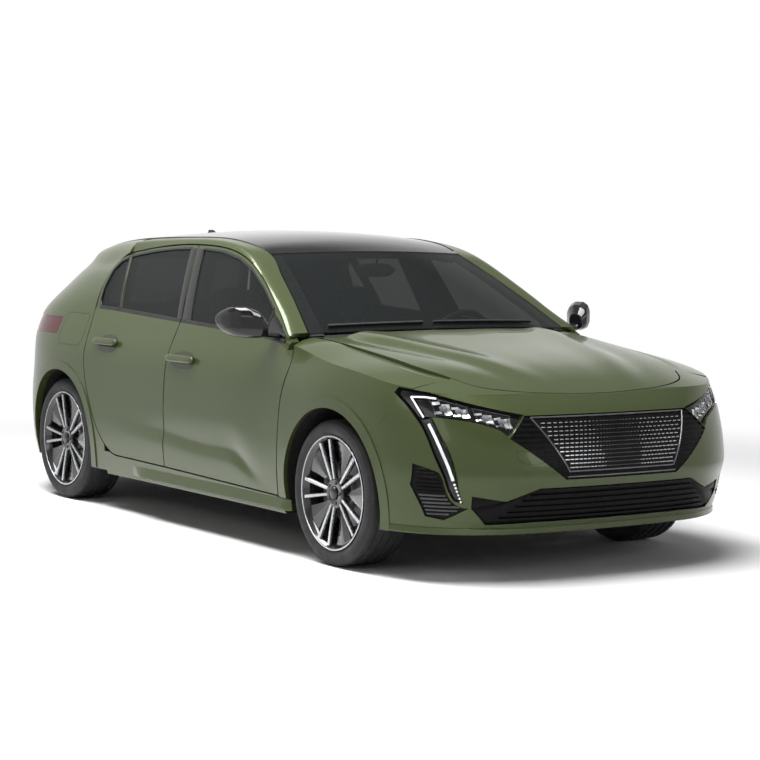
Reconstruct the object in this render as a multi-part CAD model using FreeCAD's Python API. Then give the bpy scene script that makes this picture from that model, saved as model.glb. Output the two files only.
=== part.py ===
import FreeCAD, Part
import math
import os

# A five-door hatchback car in millimetres: +X forward, +Y the car's left, +Z up.
# The origin is on the ground at mid length, on the centre plane.

V = FreeCAD.Vector

# Driving dimensions
FRONT_AXLE_X = 1288.5
WHEELBASE = 2675.0
TRACK_FRONT = 1559.0
TRACK_REAR = 1553.0
TYRE_RADIUS = 319.0
TYRE_WIDTH = 225.0
RIM_RADIUS = 249.0
RIM_WIDTH = 205.0
ARCH_RADIUS = 370.0
ARCH_LIP_WIDTH = 48.0
ARCH_LIP_RISE = 5.0
WELL_RADIUS = 388.0
NOSE_X = 2183.5
TAIL_X = -2183.5
SKIN = 14.0
FRAME_DEPTH = 42.0
PANEL_GAP = 7.0
FIXED_GAP = 0.5
SEAT_GAP = 0.3
GLASS = 5.0
SASH_INSET = 4.0
GLASS_INSET = 8.0
DOOR_INNER_Y = 782.0
DOOR_SEAL_GAP = 10.0
WINDOW_TUMBLE = 0.45
WINDOW_BULGE = 7.0
SHOULDER_SLOPE = 0.46
SHOULDER_BLEND = 70.0
WAIST_Z = 520.0
SILL_Z = 205.0
SILL_TUCK = 28.0
HINGE_RADIUS = 6.5
HINGE_HEIGHT = 60.0
HINGE_ARM_HALF = 6.0
KINGPIN_INBOARD = 50.0
STUB_RADIUS = 23.7
HOOD_CROWN = 3.4
HOOD_RIDGE = 9.0
HOOD_VALLEY = 7.0

REAR_AXLE_X = FRONT_AXLE_X - WHEELBASE

# Half outline of the body seen from above at waist height, tail centre to nose centre
PLAN = [
    (TAIL_X, 0), (-2176, 260), (-2145, 480), (-2075, 660), (-1960, 790), (-1740, 885),
    (-1386, 922), (-1000, 915), (-450, 906), (100, 903), (500, 903), (860, 906),
    (1288, 917), (1500, 908), (1650, 893), (1780, 862), (1890, 812), (1985, 742),
    (2070, 640), (2140, 490), (2172, 300), (NOSE_X, 0),
]


class Spline:
    """Smooth curve through chosen points, straight beyond its ends."""

    def __init__(self, *points):
        self.x = [float(p[0]) for p in points]
        self.y = [float(p[1]) for p in points]
        n = len(points)
        h = [self.x[i + 1] - self.x[i] for i in range(n - 1)]
        diagonal = [1.0] * n
        upper = [0.0] * n
        right = [0.0] * n
        for i in range(1, n - 1):
            lower = h[i - 1]
            slope_after = (self.y[i + 1] - self.y[i]) / h[i]
            slope_before = (self.y[i] - self.y[i - 1]) / h[i - 1]
            factor = lower / diagonal[i - 1]
            diagonal[i] = 2 * (h[i - 1] + h[i]) - factor * upper[i - 1]
            upper[i] = h[i]
            right[i] = 6 * (slope_after - slope_before) - factor * right[i - 1]
        self.m = [0.0] * n
        for i in range(n - 2, 0, -1):
            self.m[i] = (right[i] - upper[i] * self.m[i + 1]) / diagonal[i]

    def slope(self, x):
        i = self.span(x)
        x = min(max(x, self.x[0]), self.x[-1])
        h = self.x[i + 1] - self.x[i]
        a = (self.x[i + 1] - x) / h
        b = (x - self.x[i]) / h
        rise = (self.y[i + 1] - self.y[i]) / h
        return rise + ((3 * b * b - 1) * self.m[i + 1] - (3 * a * a - 1) * self.m[i]) * h / 6

    def span(self, x):
        i = 0
        while i < len(self.x) - 2 and x > self.x[i + 1]:
            i += 1
        return i

    def __call__(self, x):
        if x < self.x[0]:
            return self.y[0] + self.slope(self.x[0]) * (x - self.x[0])
        if x > self.x[-1]:
            return self.y[-1] + self.slope(self.x[-1]) * (x - self.x[-1])
        i = self.span(x)
        h = self.x[i + 1] - self.x[i]
        a = (self.x[i + 1] - x) / h
        b = (x - self.x[i]) / h
        bend = (a ** 3 - a) * self.m[i] + (b ** 3 - b) * self.m[i + 1]
        return a * self.y[i] + b * self.y[i + 1] + bend * h * h / 6


def plan_splines():
    """Plan outline by arc length, with mirrored neighbours so that both ends are square."""
    points = [(PLAN[1][0], -PLAN[1][1])] + PLAN + [(PLAN[-2][0], -PLAN[-2][1])]
    lengths = [0.0]
    for before, after in zip(points, points[1:]):
        lengths.append(lengths[-1] + math.hypot(after[0] - before[0], after[1] - before[1]))
    start = lengths[1]
    xs = Spline(*[(s - start, p[0]) for s, p in zip(lengths, points)])
    ys = Spline(*[(s - start, p[1]) for s, p in zip(lengths, points)])
    return xs, ys, lengths[-2] - start


PLAN_XS, PLAN_YS, S_NOSE = plan_splines()

# Height lines along the car
BELT = Spline((-2150, 985), (-1900, 1003), (-1386, 1022), (-1033, 1023), (-673, 1009),
              (-263, 993), (137, 979), (500, 962), (830, 938))
SHOULDER = Spline((-2100, 880), (-1700, 850), (-1386, 815), (-900, 800), (-300, 805),
                  (300, 800), (800, 780), (1288, 800), (1600, 790), (1800, 770))
CREASE = Spline((840, 938), (951, 926), (1169, 891), (1430, 860), (1600, 835), (1760, 806), (1900, 780))
WEDGE = Spline((-900, 472), (-447, 455), (-205, 443), (254, 417), (489, 398), (667, 325), (900, 320))
WEDGE_DEPTH = Spline((-800, 0), (-600, 2), (-205, 8), (300, 13), (520, 12), (700, 1), (760, 0))
NOSE = Spline((205, 2060), (241, 2094), (300, 2128), (405, 2162), (440, 2181), (480, 2183.5),
              (560, 2165), (640, 2128), (698, 2087), (740, 2048), (773, 2012), (805, 1975))
TAIL = Spline((205, 2110), (260, 2150), (330, 2172), (430, 2183), (520, 2183.5), (600, 2170),
              (640, 2150), (700, 2128), (780, 2118), (860, 2112), (930, 2096), (985, 2060), (1020, 2030))
HOOD_CENTRE = Spline((830, 1003), (960, 996), (1250, 957), (1500, 922), (1700, 886), (1850, 840),
                     (1950, 800), (2012, 773), (2080, 738))
ROOF_CENTRE = Spline((-1765, 1322), (-1450, 1381), (-1150, 1413), (-800, 1432), (-400, 1435),
                     (-100, 1422), (100, 1390), (250, 1341))
# Windscreen: centre and corner of its base and of its top
SCREEN_BASE = (930.0, 1000.0)
SCREEN_FOOT = (831.0, 727.0, 982.0)
SCREEN_TOP = (250.0, 1341.0)
SCREEN_CORNER = (199.0, 552.0, 1328.0)
SCREEN_BOW = 10.0


def screen(u, v):
    """Windscreen surface: u from -1 to 1 across, v from 0 at its base to 1 at its top."""
    bottom = V(SCREEN_BASE[0] - (SCREEN_BASE[0] - SCREEN_FOOT[0]) * u * u, SCREEN_FOOT[1] * u,
               SCREEN_BASE[1] - (SCREEN_BASE[1] - SCREEN_FOOT[2]) * u * u)
    top = V(SCREEN_TOP[0] - (SCREEN_TOP[0] - SCREEN_CORNER[0]) * u * u, SCREEN_CORNER[1] * u,
            SCREEN_TOP[1] - (SCREEN_TOP[1] - SCREEN_CORNER[2]) * u * u)
    bow = SCREEN_BOW * 4 * v * (1 - v)
    return bottom + (top - bottom) * v + V(0.45, 0, 0.89) * bow


# Upper side of the cabin: top of the door frames, and the edge of windscreen and roof panel
PILLAR = [screen(1, v) for v in (1.0, 0.75, 0.5, 0.25, 0.0)]
FRAME_TOP = Spline((-1240, 1250), (-1033, 1299), (-793, 1335), (-493, 1358), (-233, 1359),
                   (67, 1331), (317, 1251), (597, 1096), (797, 976))
EDGE_Y = Spline((-1765, 400), (-1640, 480), (-1480, 520), (-1240, 542), (-940, 556), (-470, 562),
                (-100, 561), (60, 558), *[(p.x, p.y) for p in PILLAR])
EDGE_Z = Spline((-1765, 1300), (-1640, 1322), (-1480, 1346), (-1240, 1372), (-940, 1389), (-470, 1399),
                (-100, 1390), (60, 1367), *[(p.x, p.z) for p in PILLAR])

# Rear of the cabin: at plan stations, the top of the rear glass or pillar and the roof's edge
REAR_STATIONS = [
    ((TAIL_X, 0), (-1800, 0, 1294), (-1768, 0, 1318)),
    ((-2176, 260), (-1797, 190, 1292), (-1765, 180, 1316)),
    ((-2145, 480), (-1785, 365, 1284), (-1748, 335, 1309)),
    ((-2075, 660), (-1745, 490, 1272), (-1712, 432, 1309)),
    ((-1960, 790), (-1650, 572, 1262), (-1640, 480, 1322)),
    ((-1740, 885), (-1450, 630, 1265), (-1470, 521, 1347)),
    ((-1386, 922), (-1215, 668, 1272), (-1230, 543, 1373)),
    ((-1000, 915), (-940, 694, 1323), (-940, 556, 1389)),
]


def s_of_x(x):
    """Arc length on the plan outline where the flank passes x."""
    low = 0.0
    high = S_NOSE
    for _ in range(40):
        middle = (low + high) / 2
        if PLAN_XS(middle) < x:
            low = middle
        else:
            high = middle
    return (low + high) / 2


def s_of_plan(point):
    """Arc length of a point of the plan outline."""
    best = min(range(401), key=lambda i: math.hypot(PLAN_XS(S_NOSE * i / 400) - point[0],
                                                    PLAN_YS(S_NOSE * i / 400) - point[1]))
    low = S_NOSE * max(best - 1, 0) / 400
    high = S_NOSE * min(best + 1, 400) / 400
    steps = [low + (high - low) * i / 40 for i in range(41)]
    return min(steps, key=lambda s: math.hypot(PLAN_XS(s) - point[0], PLAN_YS(s) - point[1]))


def smooth_ramp(t, width):
    return 0.5 * (t + math.sqrt(t * t + width * width))


def scallop(x, z):
    """Groove of the lower doors: the flank tucks in down to the wedge line and kicks out below it."""
    depth = WEDGE_DEPTH(x) if -790 < x < 755 else 0.0
    t = z - WEDGE(min(max(x, -890), 890))
    reach = 85.0 if t > 0 else 24.0
    return max(depth, 0.0) * math.exp(-(t / reach) ** 2)


def side_inset(x, z):
    """How far the flank lies inside the plan outline."""
    x = min(max(x, -2100), 1850)
    shoulder = SHOULDER_SLOPE * smooth_ramp(z - SHOULDER(x), SHOULDER_BLEND)
    tuck = SILL_TUCK * (max(WAIST_Z - z, 0) / (WAIST_Z - SILL_Z)) ** 2
    return shoulder + tuck + scallop(x, z)


def skin(s, z):
    """Outer skin below the windows: s along the plan outline, z the height."""
    side = 1
    if s < 0:
        s = -s
        side = -1
    if s > S_NOSE:
        s = 2 * S_NOSE - s
        side = -1
    x = PLAN_XS(s)
    y = PLAN_YS(s)
    tx = PLAN_XS.slope(s)
    ty = PLAN_YS.slope(s)
    length = math.hypot(tx, ty)
    nx = -ty / length
    ny = tx / length
    end = NOSE_X - NOSE(z) if nx > 0 else TAIL(z) + TAIL_X
    end = end if nx > 0 else -end
    depth = abs(end) * nx * nx + side_inset(x, z) * ny * ny
    return V(x - nx * depth, side * (y - ny * depth), z)


def flank_y(x, z):
    return skin(s_of_x(x), z).y


def sash_y(x, z):
    """Outer face of the side windows, a barrel surface that leans in above the belt."""
    base = BELT(x)
    rise = z - base
    span = max(FRAME_TOP(x) - base, 60.0)
    h = min(max(rise / span, -0.2), 1.2)
    return flank_y(x, base) - rise * WINDOW_TUMBLE + 4 * WINDOW_BULGE * h * (1 - h)


HOOD_EDGE = Spline(*[(x, flank_y(x, CREASE(x))) for x in (840, 951, 1169, 1430, 1600, 1760)],
                   (1900, 735), (2012, 600), (2080, 500))


def hood_share(x):
    """Share of the way from the nose back to the windscreen."""
    return min(max((1950 - x) / 900.0, 0.0), 1.0)


def ridge_y(x):
    """Distance of the hood's ridge line from the centre plane."""
    return 240 + 250 * hood_share(x)


def hood_z(x, y):
    """Hood and wing tops as a height field with a soft ridge and valley a side."""
    y = abs(y)
    centre = HOOD_CENTRE(x)
    z = centre - (centre - CREASE(x)) * (y / HOOD_EDGE(x)) ** HOOD_CROWN
    beyond = y - ridge_y(x)
    fade = min(hood_share(x) * 2.5, 1.0)
    ridge = HOOD_RIDGE * math.exp(-(beyond / 60.0) ** 2)
    valley = HOOD_VALLEY * math.exp(-((beyond - 110) / 45.0) ** 2)
    return z + (ridge - valley) * fade


def roof_z(x, y):
    edge_y = EDGE_Y(x)
    top = ROOF_CENTRE(x)
    return top - (top - EDGE_Z(x)) * (abs(y) / edge_y) ** 2


def steps(start, end, count):
    return [start + (end - start) * i / (count - 1) for i in range(count)]


def mirrored(shape):
    return shape.mirror(V(0, 0, 0), V(0, 1, 0))


def mean_lengths(lines):
    """Spacing that the lines of a grid share: their mean chord lengths, added up."""
    total = [0.0]
    for i in range(len(lines[0]) - 1):
        mean = sum((line[i + 1] - line[i]).Length for line in lines) / len(lines)
        total.append(total[-1] + max(mean, 0.01))
    return total


def control_points(points, t):
    """Control points of the smooth cubic through the points at t, straight at both ends."""
    n = len(points)
    bend = [V(0, 0, 0)] * n
    diagonal = [1.0] * n
    upper = [0.0] * n
    right = [V(0, 0, 0)] * n
    h = [t[i + 1] - t[i] for i in range(n - 1)]
    for i in range(1, n - 1):
        after = (points[i + 1] - points[i]) * (1 / h[i])
        before = (points[i] - points[i - 1]) * (1 / h[i - 1])
        factor = h[i - 1] / diagonal[i - 1]
        diagonal[i] = 2 * (h[i - 1] + h[i]) - factor * upper[i - 1]
        upper[i] = h[i]
        right[i] = (after - before) * 6 - right[i - 1] * factor
    for i in range(n - 2, 0, -1):
        bend[i] = (right[i] - bend[i + 1] * upper[i]) * (1 / diagonal[i])
    knots = [t[0]] * 4 + t[1:-1] + [t[-1]] * 4
    poles = []
    for j in range(n + 2):
        i = min(max(j - 1, 0), n - 2)
        a, b, c = (knots[j + k] - t[i] for k in (1, 2, 3))
        first = (points[i + 1] - points[i]) * (1 / h[i]) - (bend[i] * 2 + bend[i + 1]) * (h[i] / 6)
        second = bend[i] * 0.5
        third = (bend[i + 1] - bend[i]) * (1 / (6 * h[i]))
        pole = points[i] + first * ((a + b + c) / 3) + second * ((a * b + b * c + c * a) / 3)
        poles.append(pole + third * (a * b * c))
    return poles


def surface(grid):
    """Smooth surface through a grid of points."""
    across = mean_lengths([list(line) for line in zip(*grid)])
    along = mean_lengths(grid)
    half = [control_points(row, along) for row in grid]
    columns = [control_points(list(column), across) for column in zip(*half)]
    poles = [list(row) for row in zip(*columns)]
    made = Part.BSplineSurface()
    made.buildFromPolesMultsKnots(poles, [4] + [1] * (len(across) - 2) + [4],
                                  [4] + [1] * (len(along) - 2) + [4], across, along, False, False, 3, 3)
    return made


def slab(outer, inner):
    """Closed solid between two point grids that share their layout of edges."""
    faces_surfaces = [surface(outer), surface(inner)]
    rims = []
    for part in faces_surfaces:
        u0, u1, v0, v1 = part.bounds()
        rims.append([part.uIso(u0), part.uIso(u1), part.vIso(v0), part.vIso(v1)])
    faces = [part.toShape() for part in faces_surfaces]
    for first, second in zip(rims[0], rims[1]):
        faces.append(Part.makeRuledSurface(first.toShape(), second.toShape()))
    shell = Part.makeShell(faces)
    shell.sewShape()
    shell = Part.Shell(shell.Faces)
    solid = Part.makeSolid(shell)
    if solid.Volume < 0:
        solid.reverse()
    return solid


def outline(runs, to_point):
    """Closed wire from runs of points: two points make a line, more make a smooth curve."""
    edges = []
    for i, run in enumerate(runs):
        points = list(run) + [runs[(i + 1) % len(runs)][0]]
        placed = [to_point(*p) for p in points]
        if len(placed) == 2:
            edges.append(Part.makeLine(placed[0], placed[1]))
        else:
            curve = Part.BSplineCurve()
            curve.interpolate(placed)
            edges.append(curve.toShape())
    return Part.Wire(edges)


def in_side_view(x, z):
    return V(x, 0, z)


def in_top_view(x, y):
    return V(x, y, 0)


def in_front_view(y, z):
    return V(0, y, z)


def grown(wire, distance):
    if distance == 0:
        return wire
    edges = []
    for edge in wire.makeOffset2D(distance, 0, False, False, True).Edges:
        points = edge.discretize(11)
        if edge.Curve.TypeId == "Part::GeomLine":
            edges.append(Part.makeLine(points[0], points[-1]))
        else:
            curve = Part.BSplineCurve()
            curve.interpolate(points)
            edges.append(curve.toShape())
    return Part.Wire(Part.sortEdges(edges)[0])


def side_prism(wire, y0=300.0, y1=1100.0):
    face = Part.Face(wire)
    face.translate(V(0, y0, 0))
    return face.extrude(V(0, y1 - y0, 0))


def top_prism(wire, z0=500.0, z1=1200.0):
    face = Part.Face(wire)
    face.translate(V(0, 0, z0))
    return face.extrude(V(0, 0, z1 - z0))


def front_prism(wire, x0=1500.0, x1=2300.0):
    face = Part.Face(wire)
    face.translate(V(x0, 0, 0))
    return face.extrude(V(x1 - x0, 0, 0))


def box(x0, x1, y0, y1, z0, z1):
    return Part.makeBox(x1 - x0, y1 - y0, z1 - z0, V(x0, y0, z0))


def cylinder(radius, length, base, axis):
    return Part.makeCylinder(radius, length, V(*base), V(*axis))


def beam(first, second):
    """Straight member lofted between two four-cornered ends."""
    wires = [Part.makePolygon([V(*p) for p in corners] + [V(*corners[0])]) for corners in (first, second)]
    return Part.makeLoft(wires, True, True)


def grid_of(function, us, rows):
    """Points of a skin function at each u, on rows given as functions of u."""
    return [[function(u, row(u)) for row in rows] for u in us]


def moved_inward(function, us, rows, depth, step=2.0):
    """The same grid moved inward along the skin's normal."""
    grid = []
    for u in us:
        line = []
        for row in rows:
            v = row(u)
            du = function(u + step, v) - function(u - step, v)
            dv = function(u, v + step) - function(u, v - step)
            normal = du.cross(dv)
            normal.normalize()
            line.append(function(u, v) + normal * depth)
        grid.append(line)
    return grid


def skin_slab(stations, heights, outward, inward):
    """Layer of the body's skin between two distances from it."""
    rows = [lambda s, z=z: z for z in heights]
    return slab(moved_inward(skin, stations, rows, -outward), moved_inward(skin, stations, rows, inward))


# Door outlines in side view
DOOR_BOTTOM_REAR = 292.0
DOOR_BOTTOM_FRONT = 262.0
CUT_B_FOOT = (-234.0, 284.0)
CUT_B_BELT = (-205.0, 992.0)
CUT_B_HEAD = (-330.0, FRAME_TOP(-330.0))


def front_door_outline():
    top = [(x, FRAME_TOP(x)) for x in (797, 597, 400, 200, 0, -160)]
    runs = [
        [CUT_B_FOOT],
        [(839, DOOR_BOTTOM_FRONT), (850, 427), (866, 622), (892, 760), (911, 850), (896, 908)],
        [(850, 944)],
        top,
        [CUT_B_HEAD],
        [CUT_B_BELT],
    ]
    return outline(runs, in_side_view)


def rear_door_outline():
    gap = -PANEL_GAP
    head = (CUT_B_HEAD[0] + gap, CUT_B_HEAD[1])
    top = [(x, FRAME_TOP(x)) for x in (head[0], -493, -650, -793, -920, -1010)]
    runs = [
        [(CUT_B_FOOT[0] + gap, CUT_B_FOOT[1])],
        [(CUT_B_BELT[0] + gap, CUT_B_BELT[1])],
        top,
        [(-1065, 1283), (-1130, 1225), (-1150, 1130), (-1138, 1020), (-1116, 930), (-1103, 850), (-1083, 725),
         (-1037, 589), (-958, 446), (-870, 345)],
        [(-761, DOOR_BOTTOM_REAR)],
    ]
    return outline(runs, in_side_view)


WINDOW_TRIM = 20.0
WINDOW_SILL = 12.0


def window_top(x):
    return FRAME_TOP(x) - WINDOW_TRIM


def window_sill(x):
    return BELT(x) + WINDOW_SILL


def front_window_outline():
    top = [(x, window_top(x)) for x in (592, 440, 280, 120, -60)]
    runs = [
        [(-122, window_sill(-122))],
        [(606, window_sill(606))],
        top,
        [(-264, window_top(-264))],
    ]
    return outline(runs, in_side_view)


def rear_window_outline():
    top = [(x, window_top(x)) for x in (-392, -540, -700, -860)]
    runs = [
        [(-869, window_sill(-869))],
        [(-256, window_sill(-256))],
        top,
        [(-975, window_top(-975))],
    ]
    return outline(runs, in_side_view)


def quarter_light_outline():
    runs = [
        [(-891, window_sill(-891))],
        [(-998, window_top(-998))],
        [(-1060, 1262), (-1108, 1215), (-1126, 1130), (-1116, 1058)],
        [(-1092, window_sill(-1092))],
    ]
    return outline(runs, in_side_view)


def sash_slab(x0, x1, outward, inward, count=7):
    """Slab that follows the side windows, from below the belt to above the door frames."""
    rises = (-0.1, 0.25, 0.6, 1.0)
    outer = []
    inner = []
    for x in steps(x0, x1, count):
        base = BELT(x) - 25
        top = max(FRAME_TOP(x) + 12, base + 60)
        heights = [base + (top - base) * (rise + 0.1) / 1.1 for rise in rises]
        outer.append([V(x, sash_y(x, z) + outward, z) for z in heights])
        inner.append([V(x, sash_y(x, z) - inward, z) for z in heights])
    return slab(outer, inner)


def flank_rows(x):
    """Heights of the rows of a door's lower panel at x, close together at the wedge line."""
    low = 235.0
    wedge = WEDGE(min(max(x, -890), 890))
    belt = BELT(x)
    return [low, (low + wedge - 22) / 2, wedge - 24, wedge + 2, wedge + 40, wedge + 105,
            610, 700, 770, 830, 890, belt - 34, belt]


def door_lower(x0, x1, count):
    outer = []
    for x in steps(x0, x1, count):
        s = s_of_x(x)
        outer.append([skin(s, z) for z in flank_rows(x)])
    first = outer[0]
    last = outer[-1]
    inner = [[V(p.x, DOOR_INNER_Y, p.z) for p in (first[0], first[-1])],
             [V(p.x, DOOR_INNER_Y, p.z) for p in (last[0], last[-1])]]
    return slab(outer, inner)


def door_panel(wire, windows, x0, x1):
    whole = side_prism(wire)
    lower = door_lower(x0, x1, 9).common(whole)
    frame = sash_slab(x0, x1 - 60, -SASH_INSET, SASH_INSET + FRAME_DEPTH).common(whole)
    for window in windows:
        frame = frame.cut(side_prism(window))
    return lower.fuse(frame)


def pane(window, x0, x1):
    glass = sash_slab(x0, x1, -GLASS_INSET, GLASS_INSET + GLASS)
    return glass.common(side_prism(grown(window, -SEAT_GAP)))


def door_room(wire, x0, x1):
    """Space that a closed door needs in the body, with its gaps."""
    whole = grown(wire, PANEL_GAP)
    lower = side_prism(whole, DOOR_INNER_Y - DOOR_SEAL_GAP)
    upper = sash_slab(x0, x1, 80, SASH_INSET + FRAME_DEPTH + DOOR_SEAL_GAP).common(side_prism(whole))
    return [lower, upper]


def cut_all(shape, tools):
    for tool in tools:
        shape = shape.cut(tool)
    return shape


def hinge_pockets(axis, heights):
    """Notches in a door's front end around its two hinge barrels."""
    x, y = axis
    reach = HINGE_RADIUS + 5
    half = HINGE_HEIGHT / 2
    notches = []
    for z in heights:
        notches.append(box(x - reach, x + 80, DOOR_INNER_Y - 5, y + HINGE_ARM_HALF / 2, z - half, z + half))
        notches.append(cylinder(reach, HINGE_HEIGHT, (x, y, z - half), (0, 0, 1)).common(
            box(x - 80, x + 80, DOOR_INNER_Y, y + HINGE_RADIUS + 0.5, z - half, z + half)))
    return notches


def hinge_arms(axis, heights, root_y, root_reach):
    """Body side of the door hinges: an arm and a barrel between the faces of each notch."""
    x, y = axis
    half = HINGE_HEIGHT / 2 - SEAT_GAP
    arms = []
    for z in heights:
        arms.append(cylinder(HINGE_RADIUS, 2 * half, (x, y, z - half), (0, 0, 1)))
        arms.append(box(x - HINGE_ARM_HALF, x + HINGE_ARM_HALF, root_y, y, z - half + 8, z + half - 8))
        arms.append(box(x - HINGE_ARM_HALF, x + root_reach, root_y - 12, root_y + 4, z - half + 8, z + half - 8))
    return arms


# The quarter panel and the pillar behind the rear door, from the tailgate to the rear door

TAILGATE_SIDE_S = 640.0
REAR_S = [s_of_plan(station[0]) for station in REAR_STATIONS]
PILLAR_TOP = [Spline(*[(s, station[1][k]) for s, station in zip(REAR_S, REAR_STATIONS)]) for k in range(3)]
PILLAR_EDGE = [Spline(*[(s, station[2][k]) for s, station in zip(REAR_S, REAR_STATIONS)]) for k in range(3)]


def cabin(s, v):
    """Skin above the belt behind the doors: v from 0 at the belt over 1, the shoulder, to 2, the roof's edge."""
    base = skin(s, BELT(PLAN_XS(s)))
    top = V(*[line(s) for line in PILLAR_TOP])
    edge = V(*[line(s) for line in PILLAR_EDGE])
    if v <= 1:
        point = base + (top - base) * v
        return point + V(0, WINDOW_BULGE * 4 * v * (1 - v), 0)
    t = v - 1
    knee = V(top.x, top.y - 24, edge.z - 8)
    return top * (1 - t) ** 2 + knee * 2 * t * (1 - t) + edge * t * t


def quarter_line(s):
    """Points up the quarter panel at s."""
    x = PLAN_XS(s)
    belt = BELT(x)
    lower = [skin(s, z) for z in (200, 330, 470, 600, 720, 810, 880, 945, belt - 20)]
    upper = [cabin(s, v) for v in (0.12, 0.45, 0.8, 0.97, 1.25, 1.6, 2.0)]
    return lower + upper


QUARTER_DEPTH = [34.0] * 12 + [24.0, 14.0, 14.0, 14.0]


def quarter_slab():
    stations = steps(TAILGATE_SIDE_S + PANEL_GAP, s_of_x(-850), 12)
    outer = [quarter_line(s) for s in stations]
    inner = []
    for i, s in enumerate(stations):
        before = quarter_line(s - 5)
        after = quarter_line(s + 5)
        line = []
        for j, point in enumerate(outer[i]):
            along = after[j] - before[j]
            low = outer[i][max(j - 1, 0)]
            high = outer[i][min(j + 1, len(outer[i]) - 1)]
            normal = along.cross(high - low)
            normal.normalize()
            line.append(point + normal * QUARTER_DEPTH[j])
        inner.append(line)
    return slab(outer, inner)


RAIL_JOINT_X = -1000.0


def rail_slab():
    """Strip over the doors: windscreen pillar and roof rail, from its foot to the rear pillar."""
    outer = []
    inner = []
    for x in (-1060, -940, -800, -600, -400, -200, 0, 120, 240, 360, 480, 600, 700, 780, 826):
        top = FRAME_TOP(x)
        edge = V(x, EDGE_Y(x), EDGE_Z(x))
        low_z = top - 32
        low = V(x, sash_y(x, low_z), low_z)
        shoulder_z = top + 0.25 * (edge.z - top)
        shoulder = V(x, sash_y(x, shoulder_z), shoulder_z)
        knee = V(x, shoulder.y - 16, shoulder_z + 0.5 * (edge.z - shoulder_z) + 3)
        middle = (knee + edge) * 0.5 + V(0, 0, 2.0)
        outer.append([low, shoulder, knee, middle, edge])
        down = V(-8, 3, -22)
        inner.append([low + V(0, -26, 0), shoulder + V(0, -26, -2), knee + V(0, -14, -18), middle + down,
                      edge + down])
    return slab(outer, inner)


SILL_FRONT_X = 905.0
SILL_REAR_X = -870.0
SILL_INNER_Y = 776.0
WING_FOOT_Z = 256.0


def sill_slab():
    outer = []
    for x in steps(SILL_REAR_X - 30, SILL_FRONT_X, 6):
        s = s_of_x(x)
        outer.append([skin(s, z) for z in (183, 215, 250, 300)])
    first = outer[0]
    last = outer[-1]
    inner = [[V(p.x, SILL_INNER_Y, p.z) for p in (first[0], first[-1])],
             [V(p.x, SILL_INNER_Y, p.z) for p in (last[0], last[-1])]]
    return slab(outer, inner)


def arch_lip(axle_x):
    """Raised ring round a wheel opening that follows the flank."""
    reach = ARCH_RADIUS + ARCH_LIP_WIDTH
    stations = steps(s_of_x(axle_x - reach - 45), s_of_x(axle_x + reach + 45), 8)
    layer = skin_slab(stations, (205, 300, 420, 540, 660, 760), ARCH_LIP_RISE, SKIN - 1)
    return layer.common(cylinder(reach, 1200, (axle_x, 300, TYRE_RADIUS), (0, 1, 0)))


def arch_bore(axle_x, y0=0.0):
    return cylinder(ARCH_RADIUS, 1200, (axle_x, y0 + 400, TYRE_RADIUS), (0, 1, 0))


# Top view of the hood, left half, and the side view of the joints of wing and bumper

HOOD_REAR_X = 975.0
CAP_STEP = 1.0


def moved_out(runs, distance):
    """Clockwise runs of points moved outward, each square to the lines that meet in it."""
    flat = [point for run in runs for point in run]
    moved = []
    for i, point in enumerate(flat):
        normals = []
        for first, second in ((flat[i - 1], point), (point, flat[(i + 1) % len(flat)])):
            along = (second[0] - first[0], second[1] - first[1])
            length = math.hypot(*along)
            normals.append((-along[1] / length, along[0] / length))
        share = 1 + normals[0][0] * normals[1][0] + normals[0][1] * normals[1][1]
        moved.append(tuple(point[k] + (normals[0][k] + normals[1][k]) * distance / share for k in range(2)))
    result = []
    for run in runs:
        result.append(moved[:len(run)])
        moved = moved[len(run):]
    return result


def hood_outline(gap=0.0):
    """The hood in top view, or the room that it needs with a gap."""
    side = [(905, 700), (1100, 686), (1300, 674), (1485, 667), (1623, 657)]
    front = [(1727, 629), (1821, 593), (1880, 556), (1935, 472), (1970, 364), (1994, 200)]
    mirror = lambda points: [(x, -y) for x, y in reversed(points)]
    runs = [
        side,
        front + [(2004, 0)] + mirror(front)[:-1],
        [(1727, -629)] + mirror(side)[:-1],
        [(905, -700), (955, -400), (HOOD_REAR_X, 0), (955, 400)],
    ]
    return outline(moved_out(runs, gap), in_top_view)


def nose_meeting(s):
    """Point in top view where the nose's skin meets the hood's surface."""
    low = 600.0
    high = 900.0
    for _ in range(30):
        middle = (low + high) / 2
        point = skin(s, middle)
        if point.z < hood_z(point.x, point.y):
            low = middle
        else:
            high = middle
    return (point.x, point.y)


def nose_cap():
    """Strip of the front bumper on the hood's surface, between the hood and the bumper's skin."""
    half = [nose_meeting(S_NOSE - s) for s in (1160, 1020, 900, 780, 660, 540, 420, 240, 0)]
    front = half + [(x, -y) for x, y in reversed(half[:-1])]
    wire = outline([front[:-1], [front[-1]], [(1600, -600)], [(1600, 600)]], in_top_view)
    return height_field(steps(1550, 2060, 8), lambda x: hood_columns(x, 900), 0, SKIN).common(top_prism(wire))


def hood_columns(x, limit):
    """Columns of the hood's grid at x, close together at its ridge and valley."""
    crest = ridge_y(x)
    half = [crest - 70, crest - 20, crest + 20, crest + 60, crest + 110, crest + 160]
    half = [half[0] / 2] + half + [(half[-1] + limit) / 2, limit]
    return [-y for y in reversed(half)] + [0] + half


def height_field(xs, columns, top, thickness):
    """Slab that follows the hood and wing tops, with columns given as a function of x."""
    outer = [[V(x, y, hood_z(x, y) + top) for y in columns(x)] for x in xs]
    inner = [[p - V(0, 0, thickness) for p in row] for row in outer]
    return slab(outer, inner)


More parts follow.
